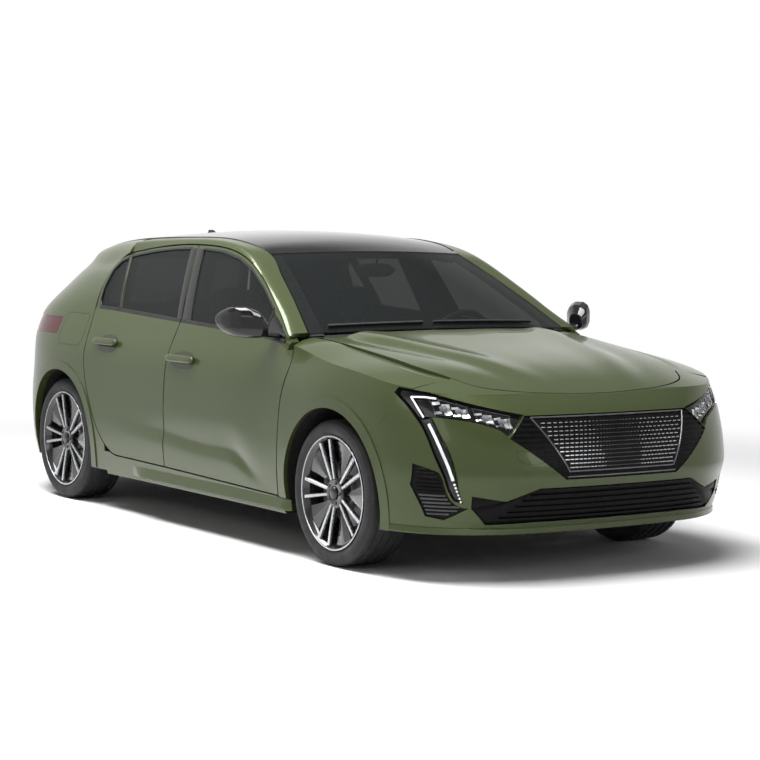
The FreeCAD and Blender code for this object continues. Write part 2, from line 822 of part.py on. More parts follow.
def flank_block(x0, x1, inward, inner_y, z_low, z_rise, count=9):
    """Body volume behind the flank of the wing, its outer face moved inward."""
    outer = []
    for x in steps(x0, x1, count):
        s = s_of_x(x)
        top = CREASE(x) + z_rise
        rows = (z_low, 360, 500, 620, 710, 780, top)
        rows = [z_low + (top - z_low) * (z - z_low) / (780.0 + 60 - z_low) for z in rows[:-1]] + [top]
        outer.append([skin(s, z) - V(0, inward, 0) for z in rows])
    first = outer[0]
    last = outer[-1]
    inner = [[V(p.x, inner_y, p.z) for p in (first[0], first[-1])],
             [V(p.x, inner_y, p.z) for p in (last[0], last[-1])]]
    return slab(outer, inner)


def wing_blank():
    """Front wing: flank and top meet at the crease, hollow behind."""
    columns = lambda x: (500, 620, 700, 760, 810, 860, 920, 980)
    outside = flank_block(825, 1850, 0, 560, 205, 40)
    outside = outside.common(height_field(steps(800, 1900, 8), columns, 0, 900))
    inside = flank_block(800, 1875, SKIN, 530, 150, 60)
    inside = inside.common(height_field(steps(780, 1920, 8), columns, -SKIN, 960))
    return outside.cut(inside)


def bumper_front_slab():
    s_start = s_of_x(1480)
    count = 17
    stations = steps(s_start, 2 * S_NOSE - s_start, count)
    rows = [lambda s, z=z: z for z in (205, 250, 310, 380, 440, 500, 590, 670, 750, 835)]
    return slab(grid_of(skin, stations, rows), moved_inward(skin, stations, rows, SKIN))


def rear_bumper_slab():
    s_end = s_of_x(-1700)
    stations = steps(-s_end, s_end, 17)
    rows = [lambda s, z=z: z for z in (215, 280, 350, 430, 520, 590, 642)]
    return slab(grid_of(skin, stations, rows), moved_inward(skin, stations, rows, SKIN))


GATE_TAPER = 0.01
GATE_DEPTH = [1.0] * 9 + [0.8, 0.4, 0.4]


def tailgate_line(s):
    """Points up the tailgate at s: lower panel, then the glazed upper part."""
    lower = [skin(s, z) for z in (650, 700, 770, 850, 920, 965)]
    side = 1 if s >= 0 else -1
    upper = []
    for v in (0.06, 0.3, 0.6, 0.95, 1.25, 1.6):
        narrowed = abs(s) * (1 - GATE_TAPER * min(v, 1))
        p = cabin(narrowed, v)
        bulge = WINDOW_BULGE * 4 * v * (1 - v) if v < 1 else 0
        upper.append(V(p.x, side * (p.y - bulge), p.z))
    return lower + upper


def tailgate_slab(outward, depth, count=11):
    half = TAILGATE_SIDE_S
    stations = steps(-half, half, count)
    outer = []
    inner = []
    for s in stations:
        line = tailgate_line(s)
        before = tailgate_line(s - 5)
        after = tailgate_line(s + 5)
        moved = []
        for j, point in enumerate(line):
            along = after[j] - before[j]
            up = line[min(j + 1, len(line) - 1)] - line[max(j - 1, 0)]
            normal = along.cross(up)
            normal.normalize()
            moved.append((point - normal * outward, point + normal * (depth * GATE_DEPTH[j])))
        outer.append([m[0] for m in moved])
        inner.append([m[1] for m in moved])
    return slab(outer, inner)


ROOF_FRONT_X = 195.0
ROOF_REAR_X = -1455.0
ROOF_BOW = 50.0
ROOF_SIDE_GAP = 1.4
ROOF_UNDERCUT = 9.0
TAIL_LAMP_X = -1454.0
SPOILER_X = -1822.0


def roof_patch(x_front, x_rear, bow, inset, thickness, count_x=8, drop=0.0):
    outer = []
    inner = []
    for i in range(count_x):
        u = i / (count_x - 1)
        x_side = x_front + (x_rear - x_front) * u
        half = EDGE_Y(x_side) - inset
        row = []
        for r in steps(-1, 1, 9):
            x = x_side + bow * (1 - r * r) * (1 - u)
            y = r * half
            row.append(V(x, y, roof_z(x, y) - drop))
        outer.append(row)
        narrow = 1 - ROOF_UNDERCUT / half
        inner.append([V(p.x, p.y * narrow, p.z - thickness) for p in row])
    return slab(outer, inner)


def roof_layer(thickness, drop):
    """The roof panel's layer, or a layer below it."""
    return roof_patch(ROOF_FRONT_X, ROOF_REAR_X, ROOF_BOW, ROOF_SIDE_GAP, thickness, 21, drop)


def screen_slab():
    us = [-0.992 + 1.984 * i / 6 for i in range(7)]
    outer = [[screen(u, v) for v in steps(0.0, 0.992, 7)] for u in us]
    inner = [[p - V(0.45, 0, 0.89) * GLASS for p in row] for row in outer]
    return slab(outer, inner)


def wheel_profile(points):
    return Part.Face(Part.makePolygon([V(0, y, r) for y, r in points + points[:1]]))


def revolved(points):
    """Ring about the Y axis from a profile of (y, radius) points."""
    return wheel_profile(points).revolve(V(0, 0, 0), V(0, 1, 0), 360)


HUB_BORE = 24.0
BEAD_DEPTH = 18.0
TYRE_SIDES = 60
DISC_Y = (2.5, 14.5)
DISC_RADIUS = 150.0
BELL_END_Y = 44.5


def tyre():
    """Tyre of flat segments, so fine that its tread is round to half a millimetre."""
    half = TYRE_WIDTH / 2
    seat = RIM_RADIUS - BEAD_DEPTH
    side = [(half - 27, seat), (half, RIM_RADIUS + 20), (half - 20, TYRE_RADIUS)]
    rings = []
    for y, radius in [(-y, r) for y, r in side] + list(reversed(side)):
        corners = []
        for i in range(TYRE_SIDES + 1):
            angle = 2 * math.pi * (i % TYRE_SIDES) / TYRE_SIDES
            corners.append(V(radius * math.cos(angle), y, radius * math.sin(angle)))
        rings.append(corners)
    faces = []
    for ring, following in zip(rings, rings[1:] + rings[:1]):
        for i in range(TYRE_SIDES):
            faces.append(Part.Face(Part.makePolygon([ring[i], ring[i + 1], following[i + 1], following[i], ring[i]])))
    shell = Part.makeShell(faces)
    shell.sewShape()
    solid = Part.makeSolid(Part.Shell(shell.Faces))
    if solid.Volume < 0:
        solid.reverse()
    return solid


def rim():
    """Wheel rim with five twin spokes, the brake disc and the hub, about the wheel's centre."""
    half = RIM_WIDTH / 2
    seat = (RIM_RADIUS - BEAD_DEPTH) * math.cos(math.pi / TYRE_SIDES) - SEAT_GAP
    barrel = revolved([(-half, RIM_RADIUS), (1 - half + 12, seat), (half - 16, seat), (half - 3, RIM_RADIUS),
                       (half + 2, RIM_RADIUS), (half + 2, seat), (half - 30, seat - 14), (-half, seat - 8)])
    spokes = []
    for i in range(5):
        for side in (-1, 1):
            foot = (side * 6, side * 34)
            head = (side * 20, side * 44)
            arm = beam([(foot[0], half - 42, 40), (foot[1], half - 42, 40),
                        (foot[1], half - 12, 40), (foot[0], half - 12, 40)],
                       [(head[0], half - 24, seat - 6), (head[1], half - 24, seat - 8),
                        (head[1], half - 3, seat - 8), (head[0], half - 3, seat - 6)])
            arm.rotate(V(0, 0, 0), V(0, 1, 0), 72 * i)
            spokes.append(arm)
    hub = revolved([(BELL_END_Y - 2, HUB_BORE), (BELL_END_Y - 2, 62), (half - 12, 62), (half - 6, 30),
                    (half - 6, 0), (half - 22, 0), (half - 22, HUB_BORE)])
    disc = revolved([(DISC_Y[0], 60), (DISC_Y[0], DISC_RADIUS), (DISC_Y[1], DISC_RADIUS), (DISC_Y[1], 60)])
    bell = revolved([(DISC_Y[0], HUB_BORE + 8), (DISC_Y[0], 64), (BELL_END_Y, 64), (BELL_END_Y, HUB_BORE + 8)])
    return barrel.multiFuse(spokes + [hub, disc, bell])


KNUCKLE_TOP = 135.7
KNUCKLE_FOOT = -140.7
BALL_RADIUS = 10.0


def knuckle():
    """Left front knuckle with stub axle and brake caliper, about the wheel's centre."""
    pin_y = -KINGPIN_INBOARD
    end = RIM_WIDTH / 2 - 22.3
    stub = cylinder(STUB_RADIUS, end - pin_y, (0, pin_y, 0), (0, 1, 0))
    post = cylinder(24, KNUCKLE_TOP - KNUCKLE_FOOT, (0, pin_y, KNUCKLE_FOOT), (0, 0, 1))
    bracket = box(-140, 0, pin_y - 12, pin_y + 12, -30, 30)
    caliper = box(-178, -105, pin_y - 12, 32, -55, 55)
    slot = cylinder(DISC_RADIUS + 6, DISC_Y[1] - DISC_Y[0] + 10, (0, DISC_Y[0] - 5, 0), (0, 1, 0))
    shape = post.multiFuse([stub, bracket, caliper.cut(slot)])
    for z in (KNUCKLE_FOOT - 1, KNUCKLE_TOP - 21):
        shape = shape.cut(cylinder(BALL_RADIUS + SEAT_GAP, 22, (0, pin_y, z), (0, 0, 1)))
    return shape


# Body structure

FLOOR_Z = 190.0
FLOOR_TOP = 206.0
BOOT_FLOOR_Z = 364.0
BOOT_FLOOR_TOP = 380.0
REAR_PANEL_Y = 430.0
WELL_INNER_FRONT_Y = 472.0
WELL_INNER_REAR_Y = 612.0
WELL_OUTER_FRONT_Y = 838.0
WELL_OUTER_REAR_Y = 818.0
WELL_WALL = 6.0
HEADER_GAP = 0.8
RAIL_Y = (400.0, 472.0)
RAIL_Z = (380.0, 460.0)
BEAM_X = NOSE_X - 125.5
BEAM_BOSS = 78.0
FIREWALL_X = 944.0
PILLAR_OUTER_Y = 764.0
MIDDLE_PILLAR_OUTER_Y = 758.0
FRONT_HINGE = (815.0, 891.0)
REAR_HINGE = (-285.0, 889.0)
FRONT_HINGE_HEIGHTS = (430.0, 650.0)
REAR_HINGE_HEIGHTS = (530.0, 700.0)
HOOD_HINGE = (925.0, 955.0)
HOOD_PIN_RADIUS = 6.0
TAILGATE_HINGE = (-1470.0, 1371.5)
TAILGATE_BARREL = 4.0


def wheel_well(axle_x, inner_y, outer_y):
    """Half-drum liner over a wheel, open below and outward, and the room inside it."""
    drum = cylinder(WELL_RADIUS + WELL_WALL, outer_y - inner_y, (axle_x, inner_y, TYRE_RADIUS), (0, 1, 0))
    bore = cylinder(WELL_RADIUS, outer_y, (axle_x, inner_y + WELL_WALL, TYRE_RADIUS), (0, 1, 0))
    keep = box(axle_x - 500, axle_x + 500, inner_y - 1, outer_y, 250, 900)
    return drum.common(keep), bore


def both_sides(shapes):
    return shapes + [mirrored(s) for s in shapes]


def screen_strip(u0, u1, thickness):
    """Pillar under the edge of the windscreen."""
    normal = V(0.45, 0, 0.89)
    outer = [[screen(u, v) - normal * (GLASS + HEADER_GAP) for v in steps(-0.02, 0.98, 7)] for u in (u0, u1)]
    inner = [[p - normal * thickness for p in row] for row in outer]
    return slab(outer, inner)


def cowl():
    """Panel between the hood's rear edge and the windscreen, with its front wall."""
    rear = []
    front = []
    foot = []
    for y in steps(-690, 690, 7):
        base = screen(y / SCREEN_FOOT[1], 0)
        reach = 985 - 70 * (y / 700) ** 2
        rear.append(base - V(0, 0, 12))
        front.append(V(reach, y, 905))
        foot.append(V(reach - 8, y, 862))
    down = V(0, 0, -6)
    top = slab([rear, front], [[p + down for p in row] for row in (rear, front)])
    back = V(-6, 0, 0)
    wall = slab([front, foot], [[p + back for p in row] for row in (front, foot)])
    return top.fuse(wall)


def tailgate_arm():
    """Hinge arm and barrel of the tailgate, left of the centre plane."""
    x, z = TAILGATE_HINGE
    barrel = cylinder(TAILGATE_BARREL, 40 - 2 * SEAT_GAP, (x, 60 + SEAT_GAP, z), (0, 1, 0))
    return [barrel, box(x - 3, x + 3, 68, 92, 1346, z), box(x - 3, x + 45, 68, 92, 1346, 1358)]


def tailgate_notch():
    x, z = TAILGATE_HINGE
    round_part = cylinder(TAILGATE_BARREL + 2, 40, (x, 60, z), (0, 1, 0))
    return round_part.common(box(x - 10, x + 10, 60, 100, z, z + 4.5)).fuse(box(x - 9, x + 30, 60, 100, 1300, z))


def body_shell():
    hood_pin = cylinder(HOOD_PIN_RADIUS, 62, (HOOD_HINGE[0], 500, HOOD_HINGE[1]), (0, 1, 0))
    under_roof = roof_layer(22, SKIN + ROOF_SIDE_GAP)
    solids = [
        box(-890, 960, -702, 702, FLOOR_Z, FLOOR_TOP),
        box(-898, -882, -702, 702, FLOOR_Z, BOOT_FLOOR_TOP),
        box(-2000, -890, -WELL_INNER_REAR_Y - 5, WELL_INNER_REAR_Y + 5, BOOT_FLOOR_Z, BOOT_FLOOR_TOP),
        box(-2092, -1990, -REAR_PANEL_Y, REAR_PANEL_Y, BOOT_FLOOR_Z, BOOT_FLOOR_TOP),
        box(-2092, -2076, -REAR_PANEL_Y, REAR_PANEL_Y, 345, 640),
        box(FIREWALL_X, 960, -702, 702, FLOOR_Z, 872),
        box(900, 990, -690, 690, 856, 872),
        box(-600, FIREWALL_X, -110, 110, FLOOR_TOP, 290),
        box(BEAM_X - 50, BEAM_X, -560, 560, 380, 460),
        under_roof.common(box(150, 300, -492, 492, 1200, 1500)),
        under_roof.common(box(-1435, -1395, -487, 487, 1200, 1500)),
        cowl(),
    ]
    left = [
        box(-1000, 905, 690, SILL_INNER_Y - SEAT_GAP, 180, 330),
        box(-300, -160, 690, MIDDLE_PILLAR_OUTER_Y, 200, 960),
        beam([(-290, 700, 950), (-170, 700, 950), (-170, 758, 950), (-290, 758, 950)],
             [(-400, 555, 1345), (-300, 555, 1345), (-300, 590, 1345), (-400, 590, 1345)]),
        box(846, 960, 690, PILLAR_OUTER_Y, 200, 925),
        box(800, 900, 690, 702, 860, 966),
        screen_strip(0.90, 0.985, 24),
        beam([(185, 480, 1284), (185, 535, 1284), (185, 535, 1306), (185, 480, 1310)],
             [(-470, 520, 1352), (-470, 560, 1352), (-470, 560, 1372), (-470, 520, 1372)]),
        beam([(-470, 520, 1345), (-470, 560, 1345), (-470, 560, 1372), (-470, 520, 1372)],
             [(-1240, 470, 1306), (-1240, 505, 1306), (-1240, 505, 1330), (-1240, 470, 1330)]),
        beam([(-1240, 470, 1306), (-1240, 505, 1306), (-1240, 505, 1330), (-1240, 470, 1330)],
             [(-1440, 455, 1290), (-1440, 490, 1290), (-1440, 480, 1328), (-1440, 455, 1328)]),
        box(950, BEAM_X - 40, RAIL_Y[0], RAIL_Y[1], RAIL_Z[0], RAIL_Z[1]),
        box(914, 936, 500, 530, 865, HOOD_HINGE[1] + HOOD_PIN_RADIUS),
        hood_pin,
        box(925, 940, 750, 950, 480, 520).common(flank_block(850, 1100, SKIN + SEAT_GAP, 700, 205, 40)),
    ]
    left += hinge_arms(FRONT_HINGE, FRONT_HINGE_HEIGHTS, PILLAR_OUTER_Y - 4, 50)
    left += hinge_arms(REAR_HINGE, REAR_HINGE_HEIGHTS, MIDDLE_PILLAR_OUTER_Y - 4, 0)
    left += tailgate_arm()
    front_drum, front_bore = wheel_well(FRONT_AXLE_X, WELL_INNER_FRONT_Y, WELL_OUTER_FRONT_Y)
    rear_drum, rear_bore = wheel_well(REAR_AXLE_X, WELL_INNER_REAR_Y, WELL_OUTER_REAR_Y)
    left.append(front_drum)
    left.append(rear_drum)
    shell = solids[0].multiFuse(solids[1:] + both_sides(left))
    hinge_slot = box(905, 945, 531, 566, 890, 1000)
    shell = cut_all(shell, both_sides([front_bore, rear_bore, hinge_slot]))
    return shell.multiFuse(both_sides([hood_pin]))


def side_frame(front_wire, rear_wire, rooms):
    """Left body side: windscreen pillar, roof rail, rear pillar, quarter panel and sill in one."""
    behind = box(-2400, RAIL_JOINT_X, 100, 1200, 100, 1500)
    ahead = box(RAIL_JOINT_X, 1200, 100, 1200, 600, 1500)
    sill_part = box(SILL_REAR_X, 1200, 100, 1200, 100, 400)
    below = box(RAIL_JOINT_X, SILL_REAR_X, 100, 1200, 100, 1000)
    quarter = quarter_slab()
    quarter = quarter.common(behind.fuse(below))
    shape = quarter.multiFuse([rail_slab().common(ahead), sill_slab().common(sill_part)])
    shape = shape.fuse(arch_lip(REAR_AXLE_X))
    doors = door_room(front_wire, -380, 880) + door_room(rear_wire, -1190, -190)
    front_bore = cylinder(ARCH_RADIUS + ARCH_LIP_WIDTH - 1, 1200, (FRONT_AXLE_X, 300, TYRE_RADIUS), (0, 1, 0))
    wing_room = box(838, 1200, 700, 1200, WING_FOOT_Z - PANEL_GAP, 700)
    return cut_all(shape, doors + [arch_bore(REAR_AXLE_X), front_bore, wing_room] + rooms)


# Openings of the nose, drawn in front view, left half

LAMP_OUTLINE = [
    [(852, 785)], [(838, 808)], [(762, 789), (679, 759), (560, 727)], [(436, 701)],
    [(530, 613)], [(562, 642), (625, 666), (700, 682)], [(779, 691)],
    [(761, 612), (738, 520), (719, 420)], [(691, 340)], [(723, 351), (749, 400), (768, 456), (790, 540), (802, 610)],
    [(820, 683)],
]
UPPER_OUTLINE = [[(437, 698)], [(530, 608)], [(298, 436)], [(-298, 436)], [(-530, 608)], [(-437, 698)]]
LOWER_OUTLINE = [
    [(408, 403)], [(538, 350)], [(667, 372)], [(664, 320)], [(600, 250)], [(400, 256)],
    [(-400, 256)], [(-600, 250)], [(-664, 320)], [(-667, 372)], [(-538, 350)], [(-408, 403)],
]
VENT_OUTLINE = [[(838, 500)], [(778, 470)], [(768, 448)], [(749, 392), (723, 343), (700, 326)], [(672, 322)],
                [(742, 269)], [(794, 282)], [(840, 412)]]


def nose_stations(start, end, count):
    return [S_NOSE - s for s in steps(start, end, count)]


def nose_piece(outline_runs, sink, depth, width, heights, shrink=0.0, count=9):
    """Piece of the nose inside an outline, its face sunk below the skin."""
    wire = grown(outline(outline_runs, in_front_view), -shrink)
    layer = skin_slab(nose_stations(width[0], width[1], count), heights, -sink, depth)
    return layer.common(front_prism(wire))


def nose_opening(outline_runs):
    return front_prism(outline(outline_runs, in_front_view))


LAMP_HEIGHTS = (320, 400, 500, 600, 690, 760, 830)
GRILLE_HEIGHTS = (225, 300, 380, 440, 520, 620, 720)


def headlamps():
    left = nose_piece(LAMP_OUTLINE, 1.5, 40, (1180, 380), LAMP_HEIGHTS, FIXED_GAP)
    return Part.makeCompound([left, mirrored(left)])


def upper_grille():
    return nose_piece(UPPER_OUTLINE, 5, 24, (-640, 640), GRILLE_HEIGHTS, FIXED_GAP)


def lower_grille():
    middle = nose_piece(LOWER_OUTLINE, 8, 30, (-800, 800), GRILLE_HEIGHTS, FIXED_GAP, 11)
    vent = nose_piece(VENT_OUTLINE, 6, 26, (1060, 640), GRILLE_HEIGHTS, FIXED_GAP)
    return Part.makeCompound([middle, vent, mirrored(vent)])


def boss(x0, x1, y0, y1, z0, z1):
    return both_sides([box(x0, x1, y0, y1, z0, z1)])


MIRROR_SECTIONS = [
    (893, 672, 768, 965, 1040), (925, 610, 772, 958, 1084), (965, 575, 748, 958, 1102),
    (1000, 545, 702, 964, 1098), (1022, 524, 645, 985, 1080), (1033, 512, 580, 1020, 1058),
]


def mirror_body():
    """Left outside mirror: housing through sections of (y, x from, x to, z from, z to), and its foot."""
    wires = []
    for y, x0, x1, z0, z1 in MIRROR_SECTIONS:
        x = (x0 + x1) / 2
        z = (z0 + z1) / 2
        ring = []
        for i in range(12):
            angle = math.pi * (2 * i + 1) / 12
            round_x = math.copysign(abs(math.cos(angle)) ** 0.7, math.cos(angle))
            round_z = math.copysign(abs(math.sin(angle)) ** 0.7, math.sin(angle))
            ring.append(V(x + (x1 - x0) / 2 * round_x, y, z + (z1 - z0) / 2 * round_z))
        wires.append(Part.makePolygon(ring + ring[:1]))
    housing = Part.makeLoft(wires, True, True)
    foot = beam([(680, 780, 958), (760, 780, 952), (760, 780, 976), (680, 780, 982)],
                [(670, 925, 968), (735, 925, 968), (735, 925, 988), (670, 925, 988)])
    cutter = sash_slab(620, 900, SEAT_GAP - SASH_INSET, 120)
    return housing.fuse(foot.cut(cutter))


def door_handle(x0, x1, z):
    """Bar handle standing off the door's skin."""
    stations = steps(s_of_x(x0), s_of_x(x1), 5)
    bar = skin_slab(stations, (z - 13, z + 13), 26, -14)
    posts = []
    for x in (x0, x1 - 26):
        posts.append(skin_slab([s_of_x(x), s_of_x(x + 26)], (z - 11, z + 11), 18, 4))
    return bar.multiFuse(posts)


# Interior

WHEEL_AXIS = V(-0.9063, 0, 0.4226)
COLUMN_END = V(478, 370, 875)


def turned_box(x0, x1, y0, y1, z0, z1, radius):
    block = box(x0, x1, y0, y1, z0, z1)
    return block.makeChamfer(radius, block.Edges)


def front_seat():
    base = turned_box(-330, 180, 130, 620, 300, 440, 40)
    back = turned_box(-400, -290, 140, 610, 380, 960, 40)
    back.rotate(V(-345, 370, 400), V(0, 1, 0), -14)
    head = turned_box(-520, -440, 250, 490, 985, 1150, 30)
    posts = [cylinder(7, 120, (-478, y, 900), (0, 0, 1)) for y in (320, 420)]
    legs = [box(-250, 120, y, y + 40, FLOOR_TOP + SEAT_GAP, 320) for y in (180, 530)]
    return base.multiFuse([back, head] + posts + legs)


def cabin_seats():
    left = front_seat()
    base = turned_box(-872, -470, -590, 590, 300, 450, 40)
    back = turned_box(-1010, -900, -590, 590, 400, 960, 40)
    back.rotate(V(-955, 0, 400), V(0, 1, 0), -14)
    heads = [turned_box(-1150, -1080, y - 110, y + 110, 940, 1070, 25) for y in (-330, 330)]
    legs = [box(-870, -500, y, y + 60, FLOOR_TOP + SEAT_GAP, 340) for y in (-400, 340)]
    ledge = box(-960, -860, -560, 560, BOOT_FLOOR_TOP + SEAT_GAP, 425)
    bench = base.multiFuse([back, ledge] + heads + legs)
    return Part.makeCompound([left, mirrored(left), bench])


def dashboard():
    front = FIREWALL_X - SEAT_GAP
    profile = [(front, 560), (front, 846), (888, 848), (868, 912), (760, 938), (640, 922), (590, 880), (575, 760),
               (640, 660), (760, 600)]
    wire = Part.makePolygon([V(x, -688, z) for x, z in profile + profile[:1]])
    body = Part.Face(wire).extrude(V(0, 2 * 688, 0))
    column = Part.makeCylinder(32, 230, COLUMN_END - WHEEL_AXIS * 230, WHEEL_AXIS)
    return body.fuse(column)


def steering_wheel():
    hub = Part.makeCylinder(48, 46, COLUMN_END + WHEEL_AXIS * SEAT_GAP, WHEEL_AXIS)
    centre = COLUMN_END + WHEEL_AXIS * 34
    section = [(162, -6), (162, 6), (170, 13), (182, 13), (190, 6), (190, -6), (182, -13), (170, -13)]
    ring = Part.Face(Part.makePolygon([V(r, 0, h) for r, h in section + section[:1]]))
    ring = ring.revolve(V(0, 0, 0), V(0, 0, 1), 360)
    ring.Placement = FreeCAD.Placement(centre, FreeCAD.Rotation(V(0, 0, 1), WHEEL_AXIS))
    across = V(0, 1, 0)
    up = across.cross(WHEEL_AXIS)
    spokes = []
    for direction in (across, across * -1, up * (-1 if up.z > 0 else 1)):
        spokes.append(Part.makeCylinder(11, 172, centre, direction))
    return hub.multiFuse([ring] + spokes)


# Running gear

ARM_Z = (150.0, 178.0)
UPPER_ARM_Z = (455.0, 480.0)
REAR_ARM_Y = (622.0, 652.0)


def front_subframe():
    x = FRONT_AXLE_X
    kingpin_y = TRACK_FRONT / 2 - KINGPIN_INBOARD
    left = [
        box(x - 100, x + 100, 410, 460, 190, RAIL_Z[0] - SEAT_GAP),
        box(x - 30, x + 30, 380, kingpin_y + 26, ARM_Z[0], ARM_Z[1]),
        box(x - 60, x + 60, 380, 440, ARM_Z[0], 230),
        cylinder(BALL_RADIUS, 21, (x, kingpin_y, ARM_Z[1] - 1), (0, 0, 1)),
    ]
    upper = box(x - 25, x + 25, WELL_INNER_FRONT_Y + WELL_WALL + SEAT_GAP, kingpin_y + 26, *UPPER_ARM_Z)
    upper = upper.fuse(cylinder(BALL_RADIUS, 21, (x, kingpin_y, UPPER_ARM_Z[0] - 20), (0, 0, 1)))
    cross = box(x - 90, x + 90, -430, 430, 190, 230)
    frame = cross.multiFuse(both_sides(left))
    return Part.makeCompound([frame, upper, mirrored(upper)])


def rear_axle_beam():
    x = REAR_AXLE_X
    end = TRACK_REAR / 2 + RIM_WIDTH / 2 - 22.3
    left = [
        box(x - 40, -898 - SEAT_GAP, REAR_ARM_Y[0], REAR_ARM_Y[1], 205, 250),
        box(x - 45, x + 45, REAR_ARM_Y[0], REAR_ARM_Y[1], 205, 365),
        cylinder(STUB_RADIUS, end - REAR_ARM_Y[0], (x, REAR_ARM_Y[0], TYRE_RADIUS), (0, 1, 0)),
    ]
    tube = box(x + 90, x + 150, -640, 640, 208, 246)
    return tube.multiFuse(both_sides(left))


def engine_block():
    body = box(1180, 1620, -330, 330, 300, 760)
    lugs = both_sides([box(1320, 1440, 300, RAIL_Y[0] - SEAT_GAP, 395, 445)])
    return body.multiFuse(lugs)


def wiper(u0, u1):
    normal = V(0.45, 0, 0.89)
    rows = []
    for distance in (12.0, 0.6):
        rows.append([[screen(u, v) + normal * distance for v in (0.05, 0.066)] for u in steps(u0, u1, 5)])
    return slab(rows[0], rows[1])


def antenna():
    """Fin on the roof."""
    base = [(-1400, -20, 1385), (-1275, -6, 1395), (-1275, 6, 1395), (-1400, 20, 1385)]
    tip = [(-1392, -4, 1431), (-1352, -3, 1431), (-1352, 3, 1431), (-1392, 4, 1431)]
    return beam(base, tip)


